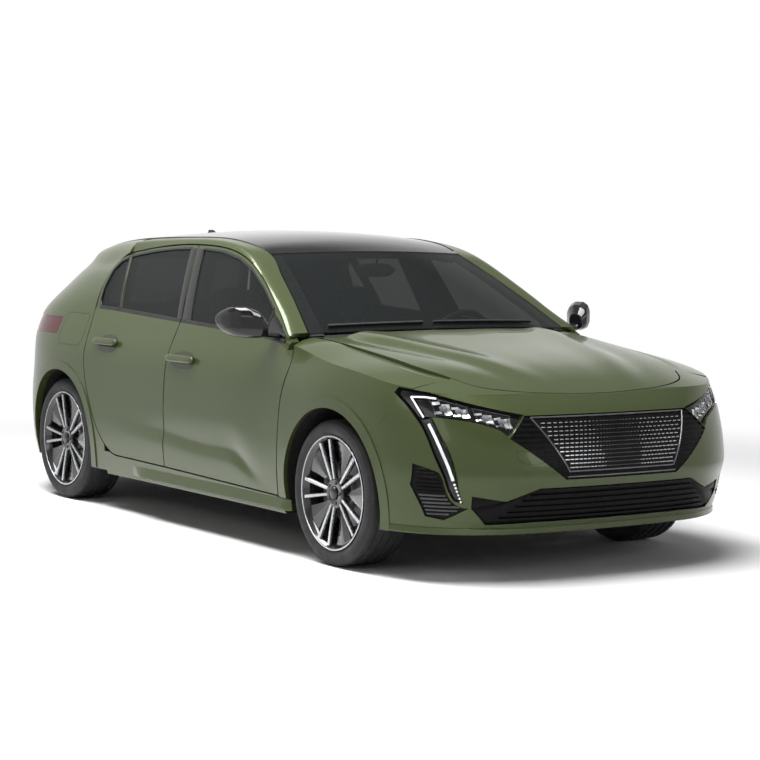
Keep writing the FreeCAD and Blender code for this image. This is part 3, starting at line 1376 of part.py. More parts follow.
def main():
    os.makedirs("parts", exist_ok=True)

    def pair(name, shape):
        shape.exportStep("parts/" + name + "_left.step")
        mirrored(shape).exportStep("parts/" + name + "_right.step")

    def single(name, shape):
        shape.exportStep("parts/" + name + ".step")

    front_wire = front_door_outline()
    rear_wire = rear_door_outline()
    front_windows = [front_window_outline()]
    rear_windows = [rear_window_outline(), quarter_light_outline()]

    front_door = door_panel(front_wire, front_windows, -360, 940)
    front_door = front_door.cut(box(845, 1000, 700, 842, 200, 950)).fuse(door_handle(-182, 55, 816))
    front_door = cut_all(front_door, hinge_pockets(FRONT_HINGE, FRONT_HINGE_HEIGHTS))
    rear_door = door_panel(rear_wire, rear_windows, -1180, -190).fuse(door_handle(-984, -768, 855))
    sill_room = box(REAR_HINGE[0] + 15, -200, 700, DOOR_INNER_Y + 18, 200, 345)
    rear_door = cut_all(rear_door, hinge_pockets(REAR_HINGE, REAR_HINGE_HEIGHTS) + [sill_room])
    pair("front_door", front_door)
    pair("rear_door", rear_door)
    pair("front_door_glass", pane(front_windows[0], -300, 640))
    pair("rear_door_glass", Part.makeCompound([pane(w, -1150, -220) for w in rear_windows]))
    pair("mirror", mirror_body())

    # Rear corner: lamps, bumper and the room of the tailgate's spoiler
    lamp_end = s_of_x(TAIL_LAMP_X)
    lamp_start = TAILGATE_SIDE_S + PANEL_GAP
    lamp = skin_slab(steps(lamp_start + FIXED_GAP, lamp_end - FIXED_GAP, 15), (874.5, 896, 918, 940, 962.5), -1, 30)
    lamp_room = skin_slab(steps(lamp_start - 30, lamp_end, 16), (874, 896, 918, 940, 963), 10, 30 + HEADER_GAP)
    single("tail_lamps", Part.makeCompound(both_sides([lamp])))
    rear_foot_room = box(-1800, -1700, 700, 1000, 100, 240)
    rear_cut = side_prism(outline([[(-2400, 644.5)], [(-1832, 644.5)], [(-1800, 560), (-1760, 440), (-1745, 330)],
                                   [(-1745, 0)], [(-2400, 0)]], in_side_view), 0, 1100)
    rear_room = side_prism(outline([[(-2400, 645)], [(-1831.5, 645)], [(-1799.5, 560), (-1759.5, 440), (-1744.5, 330)],
                                    [(-1744.5, 0)], [(-2400, 0)]], in_side_view), 0, 1100)
    spoiler_room = roof_patch(ROOF_REAR_X - 3, -1860, 0, 1, 45, 4, -10)
    pair("side_frame", side_frame(front_wire, rear_wire, [lamp_room, rear_room, spoiler_room, rear_foot_room]))

    back = rear_bumper_slab().common(rear_cut.fuse(mirrored(rear_cut)))
    back = back.multiFuse(both_sides([arch_lip(REAR_AXLE_X).common(rear_cut)]))
    back = cut_all(back, both_sides([arch_bore(REAR_AXLE_X)]))
    back = back.multiFuse(boss(-2150, -2092 - SEAT_GAP, 380, 430, 400, 440))
    diffuser_room = box(-2300, -1900, -520, 520, 150, 330)
    single("rear_bumper", back.cut(diffuser_room))
    diffuser = skin_slab(steps(-700, 700, 9), (200, 240, 280, 335), -3, 24)
    single("rear_diffuser", diffuser.common(box(-2300, -1900, -519.5, 519.5, 150, 329.5)))

    # Nose: hood, wings, bumper, lamps and grilles
    hood_wire = hood_outline()
    hood_room = top_prism(hood_outline(PANEL_GAP))
    front_cut = side_prism(outline([[(2400, 0)], [(2400, 900)], [(1792, 900)], [(1790, 830), (1770, 770),
                                    (1700, 690), (1600, 615)], [(1500, 530)], [(1500, 0)]], in_side_view), 0, 1100)
    lamp_opening = nose_opening(LAMP_OUTLINE)
    bore = arch_bore(FRONT_AXLE_X)
    wing = wing_blank().fuse(arch_lip(FRONT_AXLE_X))
    wing = cut_all(wing, door_room(front_wire, -380, 880) + [bore, hood_room, front_cut, lamp_opening,
                   box(700, 1000, 500, 1000, 0, WING_FOOT_Z), box(700, 846, 500, 1000, 0, 1200),
                   box(700, 930, 500, 707, 0, 1200)])
    pair("front_wing", wing)

    x, z = HOOD_HINGE
    hood = height_field(steps(890, 2060, 8), lambda x: hood_columns(x, 880), 0, SKIN).common(top_prism(hood_wire))
    hood = hood.multiFuse(boss(x - 10, x + 10, 535, 560, z - 10, z + 20))
    hood = cut_all(hood, both_sides([cylinder(HOOD_PIN_RADIUS + SEAT_GAP, 70, (x, 495, z), (0, 1, 0))]))
    single("hood", hood)

    over_hood = height_field(steps(1550, 2100, 8), lambda x: hood_columns(x, 950), 200 - CAP_STEP, 200)
    bumper = bumper_front_slab().cut(over_hood).fuse(nose_cap())
    bumper = bumper.common(front_cut.fuse(mirrored(front_cut)))
    bumper = bumper.multiFuse(both_sides([arch_lip(FRONT_AXLE_X).common(front_cut)]))
    openings = both_sides([bore, lamp_opening, nose_opening(VENT_OUTLINE)])
    openings += [nose_opening(UPPER_OUTLINE), nose_opening(LOWER_OUTLINE), hood_room]
    bumper = cut_all(bumper, openings)
    single("front_bumper", bumper.multiFuse(boss(BEAM_X + SEAT_GAP, BEAM_X + BEAM_BOSS, 375, 420, 418, 450)))
    single("headlamps", headlamps())
    single("upper_grille", upper_grille())
    single("lower_grille", lower_grille())

    # Roof, glass and tailgate
    single("roof_panel", roof_layer(SKIN, 0).fuse(antenna()))
    single("windscreen", screen_slab())
    single("wipers", Part.makeCompound([wiper(-0.12, 0.72), wiper(-0.86, -0.2)]))
    window = outline([[(532, 1018)], [(418, 1250)], [(210, 1262), (0, 1265), (-210, 1262)], [(-418, 1250)],
                      [(-532, 1018)], [(-280, 1012), (0, 1010), (280, 1012)]], in_front_view)
    gate = tailgate_slab(0, 30).cut(front_prism(window, -2300, -1500))
    gate = gate.fuse(roof_patch(ROOF_REAR_X - 10, SPOILER_X, 0, PANEL_GAP, 24, 4))
    lamp_strip = skin_slab(steps(-TAILGATE_SIDE_S - 60, TAILGATE_SIDE_S + 60, 23), (880, 912, 945), 8, 12)
    gate = cut_all(gate, both_sides([tailgate_notch()]) + [lamp_strip])
    single("tailgate", gate)
    pane_layer = tailgate_slab(-6, 11)
    single("tailgate_glass", pane_layer.common(front_prism(grown(window, -SEAT_GAP), -2300, -1500)))
    strip = skin_slab(steps(-TAILGATE_SIDE_S + 3, TAILGATE_SIDE_S - 3, 21), (880.5, 912, 944.5), -1, 12 - HEADER_GAP)
    single("tailgate_lamps", strip)
    single("body_shell", body_shell())

    single("dashboard", dashboard())
    single("steering_wheel", steering_wheel())
    single("cabin_seats", cabin_seats())
    single("engine_block", engine_block())
    single("front_subframe", front_subframe())
    single("rear_axle_beam", rear_axle_beam())

    hub = V(FRONT_AXLE_X, TRACK_FRONT / 2, TYRE_RADIUS)
    carrier = knuckle()
    carrier.translate(hub)
    pair("front_knuckle", carrier)
    left_tyre = tyre()
    left_rim = rim()
    for name, x, track in (("front", FRONT_AXLE_X, TRACK_FRONT), ("rear", REAR_AXLE_X, TRACK_REAR)):
        for piece_name, piece in (("tyre", left_tyre), ("rim", left_rim)):
            placed = piece.copy()
            placed.translate(V(x, track / 2, TYRE_RADIUS))
            pair(name + "_" + piece_name, placed)


main()
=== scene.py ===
import bpy
import bmesh
import math
from mathutils import Matrix, Vector
from mathutils.bvhtree import BVHTree


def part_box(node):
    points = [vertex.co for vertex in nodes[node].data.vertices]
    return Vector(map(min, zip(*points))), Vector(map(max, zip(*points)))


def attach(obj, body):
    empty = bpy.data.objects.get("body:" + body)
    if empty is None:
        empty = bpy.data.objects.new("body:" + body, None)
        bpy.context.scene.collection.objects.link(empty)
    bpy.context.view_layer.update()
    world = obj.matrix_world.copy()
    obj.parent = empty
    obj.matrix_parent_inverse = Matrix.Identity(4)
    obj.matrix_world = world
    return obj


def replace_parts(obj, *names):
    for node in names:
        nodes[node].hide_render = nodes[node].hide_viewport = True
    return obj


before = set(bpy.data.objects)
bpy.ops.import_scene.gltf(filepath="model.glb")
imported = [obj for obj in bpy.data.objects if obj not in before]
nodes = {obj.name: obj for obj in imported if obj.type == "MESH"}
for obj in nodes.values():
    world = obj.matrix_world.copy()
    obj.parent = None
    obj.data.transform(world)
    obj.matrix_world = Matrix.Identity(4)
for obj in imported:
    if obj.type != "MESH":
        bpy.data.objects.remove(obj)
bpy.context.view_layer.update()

# Shape of the car, in millimetres, as in the part's source

FRONT_AXLE_X = 1288.5
REAR_AXLE_X = -1386.5
TRACK_FRONT = 1559.0
TRACK_REAR = 1553.0
AXLE_Z = 319.0
NOSE_X = 2183.5
TAIL_X = -2183.5
SASH_INSET = 4.0
PLAN = [
    (TAIL_X, 0), (-2176, 260), (-2145, 480), (-2075, 660), (-1960, 790), (-1740, 885),
    (-1386, 922), (-1000, 915), (-450, 906), (100, 903), (500, 903), (860, 906),
    (1288, 917), (1500, 908), (1650, 893), (1780, 862), (1890, 812), (1985, 742),
    (2070, 640), (2140, 490), (2172, 300), (NOSE_X, 0),
]


class Spline:
    """Smooth curve through chosen points, straight beyond its ends."""

    def __init__(self, *points):
        self.x = [float(p[0]) for p in points]
        self.y = [float(p[1]) for p in points]
        n = len(points)
        h = [self.x[i + 1] - self.x[i] for i in range(n - 1)]
        diagonal = [1.0] * n
        upper = [0.0] * n
        right = [0.0] * n
        for i in range(1, n - 1):
            factor = h[i - 1] / diagonal[i - 1]
            after = (self.y[i + 1] - self.y[i]) / h[i]
            before = (self.y[i] - self.y[i - 1]) / h[i - 1]
            diagonal[i] = 2 * (h[i - 1] + h[i]) - factor * upper[i - 1]
            upper[i] = h[i]
            right[i] = 6 * (after - before) - factor * right[i - 1]
        self.m = [0.0] * n
        for i in range(n - 2, 0, -1):
            self.m[i] = (right[i] - upper[i] * self.m[i + 1]) / diagonal[i]

    def span(self, x):
        """Number and length of the piece that holds x, and the shares of its two ends there."""
        i = 0
        while i < len(self.x) - 2 and x > self.x[i + 1]:
            i += 1
        h = self.x[i + 1] - self.x[i]
        return i, h, (self.x[i + 1] - x) / h, (x - self.x[i]) / h

    def slope(self, x):
        x = min(max(x, self.x[0]), self.x[-1])
        i, h, a, b = self.span(x)
        rise = (self.y[i + 1] - self.y[i]) / h
        return rise + ((3 * b * b - 1) * self.m[i + 1] - (3 * a * a - 1) * self.m[i]) * h / 6

    def __call__(self, x):
        if x < self.x[0]:
            return self.y[0] + self.slope(self.x[0]) * (x - self.x[0])
        if x > self.x[-1]:
            return self.y[-1] + self.slope(self.x[-1]) * (x - self.x[-1])
        i, h, a, b = self.span(x)
        bend = (a ** 3 - a) * self.m[i] + (b ** 3 - b) * self.m[i + 1]
        return a * self.y[i] + b * self.y[i + 1] + bend * h * h / 6


def plan_splines():
    """Plan outline by its length from the tail's middle: x, y and the length to the nose's middle."""
    points = [(PLAN[1][0], -PLAN[1][1])] + PLAN + [(PLAN[-2][0], -PLAN[-2][1])]
    lengths = [0.0]
    for before, after in zip(points, points[1:]):
        lengths.append(lengths[-1] + math.hypot(after[0] - before[0], after[1] - before[1]))
    start = lengths[1]
    xs = Spline(*[(s - start, p[0]) for s, p in zip(lengths, points)])
    ys = Spline(*[(s - start, p[1]) for s, p in zip(lengths, points)])
    return xs, ys, lengths[-2] - start


PLAN_XS, PLAN_YS, S_NOSE = plan_splines()
BELT = Spline((-2150, 985), (-1900, 1003), (-1386, 1022), (-1033, 1023), (-673, 1009),
              (-263, 993), (137, 979), (500, 962), (830, 938))
SHOULDER = Spline((-2100, 880), (-1700, 850), (-1386, 815), (-900, 800), (-300, 805),
                  (300, 800), (800, 780), (1288, 800), (1600, 790), (1800, 770))
WEDGE = Spline((-900, 472), (-447, 455), (-205, 443), (254, 417), (489, 398), (667, 325), (900, 320))
WEDGE_DEPTH = Spline((-800, 0), (-600, 2), (-205, 8), (300, 13), (520, 12), (700, 1), (760, 0))
NOSE = Spline((205, 2060), (241, 2094), (300, 2128), (405, 2162), (440, 2181), (480, 2183.5),
              (560, 2165), (640, 2128), (698, 2087), (740, 2048), (773, 2012), (805, 1975))
TAIL = Spline((205, 2110), (260, 2150), (330, 2172), (430, 2183), (520, 2183.5), (600, 2170),
              (640, 2150), (700, 2128), (780, 2118), (860, 2112), (930, 2096), (985, 2060), (1020, 2030))


def screen(u, v):
    """Windscreen surface: u from -1 to 1 across, v from 0 at its base to 1 at its top."""
    bottom = Vector((930.0 - 99.0 * u * u, 727.0 * u, 1000.0 - 18.0 * u * u))
    top = Vector((250.0 - 51.0 * u * u, 552.0 * u, 1341.0 - 13.0 * u * u))
    return bottom + (top - bottom) * v + Vector((0.45, 0, 0.89)) * (40.0 * v * (1 - v))


PILLAR = [screen(1, v) for v in (1.0, 0.75, 0.5, 0.25, 0.0)]
FRAME_TOP = Spline((-1240, 1250), (-1033, 1299), (-793, 1335), (-493, 1358), (-233, 1359),
                   (67, 1331), (317, 1251), (597, 1096), (797, 976))
EDGE_Y = Spline((-1765, 400), (-1640, 480), (-1480, 520), (-1240, 542), (-940, 556), (-470, 562),
                (-100, 561), (60, 558), *[(p.x, p.y) for p in PILLAR])
EDGE_Z = Spline((-1765, 1300), (-1640, 1322), (-1480, 1346), (-1240, 1372), (-940, 1389), (-470, 1399),
                (-100, 1390), (60, 1367), *[(p.x, p.z) for p in PILLAR])


def s_of_x(x):
    """Length along the plan outline at which it reaches x."""
    low, high = 0.0, S_NOSE
    for _ in range(36):
        middle = (low + high) / 2
        low, high = (middle, high) if PLAN_XS(middle) < x else (low, middle)
    return (low + high) / 2


def scallop(x, z):
    """Depth of the hollow in the lower doors."""
    depth = WEDGE_DEPTH(x) if -790 < x < 755 else 0.0
    t = z - WEDGE(min(max(x, -890), 890))
    return max(depth, 0.0) * math.exp(-(t / (85.0 if t > 0 else 24.0)) ** 2)


def side_inset(x, z):
    """How far the flank lies inside the plan outline: shoulder, sill tuck and hollow."""
    x = min(max(x, -2100), 1850)
    t = z - SHOULDER(x)
    shoulder = 0.46 * 0.5 * (t + math.sqrt(t * t + 4900.0))
    tuck = 28.0 * (max(520.0 - z, 0) / 315.0) ** 2
    return shoulder + tuck + scallop(x, z)


def skin(s, z):
    """Outer skin below the windows: s along the plan outline, z the height."""
    side = 1
    if s < 0:
        s, side = -s, -1
    if s > S_NOSE:
        s, side = 2 * S_NOSE - s, -1
    x, y = PLAN_XS(s), PLAN_YS(s)
    tx, ty = PLAN_XS.slope(s), PLAN_YS.slope(s)
    length = math.hypot(tx, ty)
    nx, ny = -ty / length, tx / length
    end = abs(NOSE_X - NOSE(z)) if nx > 0 else abs(TAIL(z) + TAIL_X)
    depth = end * nx * nx + side_inset(x, z) * ny * ny
    return Vector((x - nx * depth, side * (y - ny * depth), z))


def skin_normal(s, z, step=2.0):
    du = skin(s + step, z) - skin(s - step, z)
    dv = skin(s, z + step) - skin(s, z - step)
    return dv.cross(du).normalized()


def on_skin(s, z, out=0.0):
    return skin(s, z) + skin_normal(s, z) * out


def flank_y(x, z):
    return skin(s_of_x(x), z).y


def sash_y(x, z):
    """Half width of the window frames."""
    base = BELT(x)
    rise = z - base
    h = min(max(rise / max(FRAME_TOP(x) - base, 60.0), -0.2), 1.2)
    return flank_y(x, base) - rise * 0.45 + 28.0 * h * (1 - h)


def steps(start, end, count):
    return [start + (end - start) * i / (count - 1) for i in range(count)]


# Node materials

def new_material(name, **values):
    """Principled material with its constant values set on the shader's own sockets."""
    material = bpy.data.materials.new(name)
    material.use_nodes = True
    shader = material.node_tree.nodes["Principled BSDF"]
    for key, value in values.items():
        socket = shader.inputs[key.replace("_", " ")]
        socket.default_value = (*value, 1.0) if isinstance(value, tuple) and len(value) == 3 else value
    return material


def add(owner, kind, **settings):
    """Node of a material or a world; capitalised settings are its inputs, the rest its properties."""
    node = owner.node_tree.nodes.new(kind)
    for key, value in settings.items():
        if key[0].isupper():
            node.inputs[key.replace("_", " ")].default_value = value
        else:
            setattr(node, key, value)
    return node


def link(owner, source, target):
    owner.node_tree.links.new(source, target)


def join(owner, operation, first, second, **settings):
    """Sum or product of two values."""
    node = add(owner, "ShaderNodeMath", operation=operation, **settings)
    link(owner, first, node.inputs[0])
    link(owner, second, node.inputs[1])
    return node.outputs[0]


NOISE_ROUGHNESS = 0.55


def noise(material, scale, detail=4.0, stretch=None):
    """Noise in the object's own space, in metres."""
    source = add(material, "ShaderNodeTexCoord").outputs["Object"]
    if stretch:
        mapping = add(material, "ShaderNodeMapping", Scale=stretch)
        link(material, source, mapping.inputs["Vector"])
        source = mapping.outputs["Vector"]
    texture = add(material, "ShaderNodeTexNoise", Scale=scale, Detail=detail, Roughness=NOISE_ROUGHNESS)
    link(material, source, texture.inputs["Vector"])
    return texture.outputs["Fac"]


def ramp(material, source, stops):
    """Colours or greys at places from 0 to 1 of a value."""
    node = add(material, "ShaderNodeValToRGB")
    elements = node.color_ramp.elements
    while len(elements) < len(stops):
        elements.new(0.5)
    for element, (place, colour) in zip(elements, stops):
        element.position = place
        element.color = (*colour, 1.0) if isinstance(colour, tuple) else (colour, colour, colour, 1.0)
    link(material, source, node.inputs["Fac"])
    return node.outputs["Color"]


def bump(material, source, strength, distance, target="Normal"):
    node = add(material, "ShaderNodeBump", Strength=strength, Distance=distance)
    link(material, source, node.inputs["Height"])
    drive(material, node.outputs["Normal"], target)


def drive(material, source, socket):
    """Feeds one of the shader's own sockets."""
    link(material, source, material.node_tree.nodes["Principled BSDF"].inputs[socket])


def mottled(material, dark, light, scale, detail=4.0):
    """Base colour that wanders between a dark and a light tone."""
    drive(material, ramp(material, noise(material, scale, detail), [(0.3, dark), (0.7, light)]), "Base Color")


def uneven(material, low, high, scale, detail=5.0, stretch=None, edge=0.3):
    """Roughness that wanders between two values."""
    tone = noise(material, scale, detail, stretch=stretch)
    drive(material, ramp(material, tone, [(edge, low), (1 - edge, high)]), "Roughness")


def paint_material(name, dark, light):
    """Metallic paint: flakes under a clear coat, with the coat's faint ripple."""
    made = new_material(name, Metallic=0.34, Coat_Weight=0.5, Coat_Roughness=0.03, Coat_IOR=1.4, IOR=1.4,
                        Specular_IOR_Level=0.2)
    mottled(made, dark, light, 2600.0, 1.0)
    uneven(made, 0.26, 0.4, 1900.0, 1.0)
    flakes = add(made, "ShaderNodeTexVoronoi", Scale=1500.0)
    link(made, add(made, "ShaderNodeTexCoord").outputs["Object"], flakes.inputs["Vector"])
    bump(made, flakes.outputs["Distance"], 0.05, 0.0004)
    bump(made, noise(made, 130.0, 2.0), 0.02, 0.0006, "Coat Normal")
    return made


def plastic_material(name, dark, light, roughness, grain_scale, grain, coat=0.0):
    """Moulded plastic with a fine grain; coat above zero gives it a lacquer."""
    made = new_material(name, Metallic=0.0, Coat_Weight=coat, Coat_Roughness=0.03, IOR=1.5,
                        Specular_IOR_Level=0.2)
    mottled(made, dark, light, 18.0)
    uneven(made, *roughness, 55.0, edge=0.35)
    bump(made, noise(made, grain_scale, 3.0), grain, 0.0006)
    return made


def metal_material(name, dark, light, roughness, stretch=None, grain=0.06):
    made = new_material(name, Metallic=1.0)
    mottled(made, dark, light, 40.0)
    uneven(made, *roughness, 90.0, stretch=stretch)
    bump(made, noise(made, 700.0, 3.0, stretch=stretch), grain, 0.0004)
    return made


def glass_material(name, tint, alpha):
    """Tinted pane, seen through by its alpha."""
    made = new_material(name, Roughness=0.01, Alpha=alpha, IOR=1.35, Coat_Weight=0.0,
                        Coat_Roughness=0.01, Specular_IOR_Level=0.16)
    mottled(made, tuple(c * 0.85 for c in tint), tint, 3.0, 2.0)
    bump(made, noise(made, 5.0, 2.0), 0.02, 0.002)
    return made


THREAD_SCALE = 900.0 / 6.28


def fabric_material(name, dark, light):
    """Woven cloth: crossed threads with sheen and mottled colour."""
    made = new_material(name, Roughness=0.92, Sheen_Weight=0.35, Sheen_Roughness=0.5)
    mottled(made, dark, light, 60.0, 6.0)
    coords = add(made, "ShaderNodeTexCoord")
    threads = []
    for turn in ("X", "Y", "Z"):
        wave = add(made, "ShaderNodeTexWave", bands_direction=turn, Scale=THREAD_SCALE, Distortion=1.5)
        link(made, coords.outputs["Object"], wave.inputs["Vector"])
        threads.append(wave.outputs["Fac"])
    weave = join(made, "ADD", join(made, "MULTIPLY", threads[0], threads[1]), threads[2])
    bump(made, weave, 0.25, 0.0006)
    return made


def rubber_material(name, dark, light):
    made = new_material(name, Roughness=0.72, IOR=1.5, Specular_IOR_Level=0.35)
    mottled(made, dark, light, 30.0, 6.0)
    uneven(made, 0.62, 0.82, 14.0)
    bump(made, noise(made, 1200.0, 3.0), 0.15, 0.0004)
    return made


M = {
    "paint": paint_material("olive_paint", (0.034, 0.046, 0.014), (0.050, 0.066, 0.021)),
    # Darker copy of the paint: painted shade for the recesses behind the door handles
    "recess_shade_paint": paint_material("painted_recess_shade", (0.020, 0.026, 0.010), (0.030, 0.038, 0.015)),
    "glass": glass_material("tinted_glass", (0.010, 0.012, 0.012), 0.72),
    "screen_glass": glass_material("windscreen_glass", (0.012, 0.014, 0.014), 0.45),
    "lamp": glass_material("lamp_cover", (0.02, 0.021, 0.022), 0.12),
    "lens_glass": glass_material("clear_lens", (0.30, 0.32, 0.34), 0.5),
    "tyre": rubber_material("tyre_rubber", (0.012, 0.012, 0.013), (0.022, 0.022, 0.023)),
    "alloy": metal_material("machined_alloy", (0.34, 0.345, 0.36), (0.48, 0.485, 0.50), (0.2, 0.34)),
    "chrome": metal_material("bright_trim", (0.70, 0.71, 0.72), (0.85, 0.86, 0.87), (0.06, 0.14)),
    "steel": metal_material("bare_steel", (0.20, 0.20, 0.21), (0.34, 0.34, 0.35), (0.3, 0.5), (1, 12, 1)),
    "iron": metal_material("cast_iron", (0.07, 0.07, 0.072), (0.14, 0.135, 0.13), (0.45, 0.7), None, 0.3),
    "fabric": fabric_material("seat_cloth", (0.016, 0.016, 0.018), (0.032, 0.032, 0.035)),
}
# Plastics: name, dark and light tone, roughness from and to, scale and strength of the grain, coat
for key, *values in (
    ("black_gloss", "gloss_black", (0.003, 0.003, 0.0035), (0.006, 0.006, 0.0065), (0.06, 0.12), 400.0,
     0.02, 0.35),
    ("black_matte", "moulded_black", (0.010, 0.010, 0.011), (0.020, 0.020, 0.021), (0.42, 0.6), 900.0, 0.25),
    ("deep_black", "deep_black", (0.002, 0.002, 0.002), (0.004, 0.004, 0.0042), (0.3, 0.5), 500.0, 0.05),
    ("grey_matte", "moulded_grey", (0.045, 0.046, 0.048), (0.07, 0.071, 0.073), (0.4, 0.55), 900.0, 0.25),
    ("grey_gloss", "smoke_grey", (0.05, 0.05, 0.052), (0.08, 0.08, 0.083), (0.12, 0.2), 400.0, 0.03, 0.8),
    ("dark_wheel", "wheel_black", (0.008, 0.008, 0.009), (0.014, 0.014, 0.015), (0.14, 0.24), 500.0,
     0.04, 0.8),
    ("under", "wax_black", (0.008, 0.008, 0.008), (0.016, 0.016, 0.016), (0.6, 0.8), 300.0, 0.4),
    ("red_lamp", "red_lens", (0.035, 0.001, 0.002), (0.055, 0.002, 0.004), (0.05, 0.1), 250.0, 0.03, 0.15),
    ("red_glow", "red_reflector", (0.22, 0.003, 0.005), (0.32, 0.006, 0.01), (0.08, 0.14), 260.0, 0.05, 0.2),
    ("white_light", "light_guide", (0.86, 0.88, 0.90), (0.93, 0.94, 0.95), (0.12, 0.2), 300.0, 0.02, 1.0),
    ("plate", "blank_plate", (0.55, 0.55, 0.54), (0.66, 0.66, 0.65), (0.35, 0.5), 300.0, 0.1),
):
    M[key] = plastic_material(*values)
M["deep_black"].node_tree.nodes["Principled BSDF"].inputs["Specular IOR Level"].default_value = 0.08


def dress(node, key):
    """Gives a CAD node its material."""
    target = nodes[node].data
    target.materials.clear()
    target.materials.append(M[key])


SIDES = (("left", 1), ("right", -1))
for name, key in {
    "body_shell": "under", "hood": "paint", "front_bumper": "paint", "headlamps": "lamp",
    "upper_grille": "deep_black", "lower_grille": "deep_black", "roof_panel": "black_gloss",
    "windscreen": "screen_glass", "wipers": "black_matte", "rear_bumper": "paint",
    "rear_diffuser": "black_matte",
    "tail_lamps": "red_lamp", "tailgate": "paint", "tailgate_glass": "glass", "tailgate_lamps": "red_lamp",
    "dashboard": "black_matte", "cabin_seats": "fabric", "steering_wheel": "black_matte",
    "engine_block": "iron", "front_subframe": "under", "rear_axle_beam": "under",
}.items():
    dress(name, key)
for side, _ in SIDES:
    for name, key in {
        "side_frame": "paint", "front_wing": "paint", "front_door": "paint", "rear_door": "paint",
        "front_door_glass": "glass", "rear_door_glass": "glass", "mirror": "black_gloss",
        "front_knuckle": "iron", "front_tyre": "tyre", "rear_tyre": "tyre",
        "front_rim": "alloy", "rear_rim": "alloy",
    }.items():
        dress(name + "_" + side, key)


# Mesh helpers: points in millimetres, objects in metres

def finish_mesh(name, bm, material, body="body", smooth=30.0):
    """Object from a bmesh in millimetres, shaded smooth up to an angle, riding on a body."""
    bmesh.ops.remove_doubles(bm, verts=bm.verts, dist=0.01)
    bmesh.ops.recalc_face_normals(bm, faces=bm.faces)
    bmesh.ops.scale(bm, vec=(0.001, 0.001, 0.001), verts=bm.verts)
    mesh = bpy.data.meshes.new(name)
    bm.to_mesh(mesh)
    bm.free()
    mesh.materials.append(M[material])
    made = bpy.data.objects.new(name, mesh)
    bpy.context.scene.collection.objects.link(made)
    for polygon in mesh.polygons:
        polygon.use_smooth = True
    mark_sharp(mesh, math.radians(smooth))
    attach(made, body)
    return made


def mark_sharp(mesh, limit):
    """Marks edges whose two faces meet at more than an angle as sharp."""
    bm = bmesh.new()
    bm.from_mesh(mesh)
    for edge in bm.edges:
        if len(edge.link_faces) != 2 or edge.calc_face_angle(0.0) > limit:
            edge.smooth = False
    bm.to_mesh(mesh)
    bm.free()


def add_grid(bm, grid, closed_rows=False, closed_columns=False):
    """Quads between the points of a grid."""
    made = [[bm.verts.new(p) for p in row] for row in grid]
    rows = len(made) if closed_rows else len(made) - 1
    for i in range(rows):
        first, second = made[i], made[(i + 1) % len(made)]
        count = len(first) if closed_columns else len(first) - 1
        for j in range(count):
            k = (j + 1) % len(first)
            bm.faces.new((first[j], first[k], second[k], second[j]))
    return made


def add_loft(bm, rings):
    """Closed skin over rings of points, with a lid at both ends."""
    made = add_grid(bm, rings, closed_columns=True)
    bm.faces.new(list(reversed(made[0])))
    bm.faces.new(made[-1])


def add_plate(bm, grid, thickness, outward):
    """Plate of even thickness below a grid; outward gives each point's normal."""
    under = [[p - n * thickness for p, n in zip(row, normals)] for row, normals in zip(grid, outward)]
    top = add_grid(bm, grid)
    bottom = add_grid(bm, under)
    rim, low = [[row[0] for row in face] + face[-1][1:] + [row[-1] for row in reversed(face[:-1])]
                + face[0][-2:0:-1] for face in (top, bottom)]
    for i in range(len(rim)):
        k = (i + 1) % len(rim)
        bm.faces.new((rim[i], rim[k], low[k], low[i]))


def add_bar(bm, path, ups, width, height, corner=0.3):
    """Bar with chamfered edges along a path; ups gives the outward direction at each point."""
    rings = []
    for i, point in enumerate(path):
        ahead = (path[min(i + 1, len(path) - 1)] - path[max(i - 1, 0)]).normalized()
        up = ups[i].normalized()
        side = ahead.cross(up).normalized()
        w = (width[i] if isinstance(width, list) else width) / 2
        h = (height[i] if isinstance(height, list) else height) / 2
        c = corner * min(w, h)
        ring = []
        for sx, sy in ((1, 1), (-1, 1), (-1, -1), (1, -1)):
            first = (sx * (w - c), sy * h) if sx == sy else (sx * w, sy * (h - c))
            second = (sx * w, sy * (h - c)) if sx == sy else (sx * (w - c), sy * h)
            for a, b in (second, first):
                ring.append(point + side * a + up * b)
        rings.append(ring)
    add_loft(bm, rings)


def add_block(bm, x0, x1, y0, y1, z0, z1, chamfer=0.0):
    """Box with chamfered edges."""
    c = min(chamfer, (x1 - x0) / 2.01, (y1 - y0) / 2.01, (z1 - z0) / 2.01)
    rings = []
    for z, inset in ((z0, c), (z0 + c, 0), (z1 - c, 0), (z1, c)):
        a, b, d, e = x0 + inset, x1 - inset, y0 + inset, y1 - inset
        rings.append([Vector(p + (z,)) for p in ((a + c, d), (b - c, d), (b, d + c), (b, e - c), (b - c, e),
                                                 (a + c, e), (a, e - c), (a, d + c))])
    add_loft(bm, rings)


def full_turn(count):
    """Evenly spaced angles of a circle."""
    return [2 * math.pi * k / count for k in range(count)]


def ray_at(angle, y, radius):
    """Point at an angle and radius about the Y axis."""
    return Vector((radius * math.cos(angle), y, radius * math.sin(angle)))


def round_rings(centre, normal, profile, count=20, squash=1.0):
    """Rings of points about a normal from (radius, rise) pairs."""
    across = normal.cross(Vector((0, 0, 1))).normalized()
    upward = across.cross(normal)
    ways = [across * math.cos(t) + upward * (squash * math.sin(t)) for t in full_turn(count)]
    return [[centre + normal * rise + way * radius for way in ways] for radius, rise in profile]


def turned(profile, centre, segments, bm):
    """Closed ring about the Y axis from (y, radius) points."""
    rings = [[centre + ray_at(a, y, r) for y, r in profile] for a in full_turn(segments)]
    add_grid(bm, rings, closed_rows=True, closed_columns=True)


# Wheels

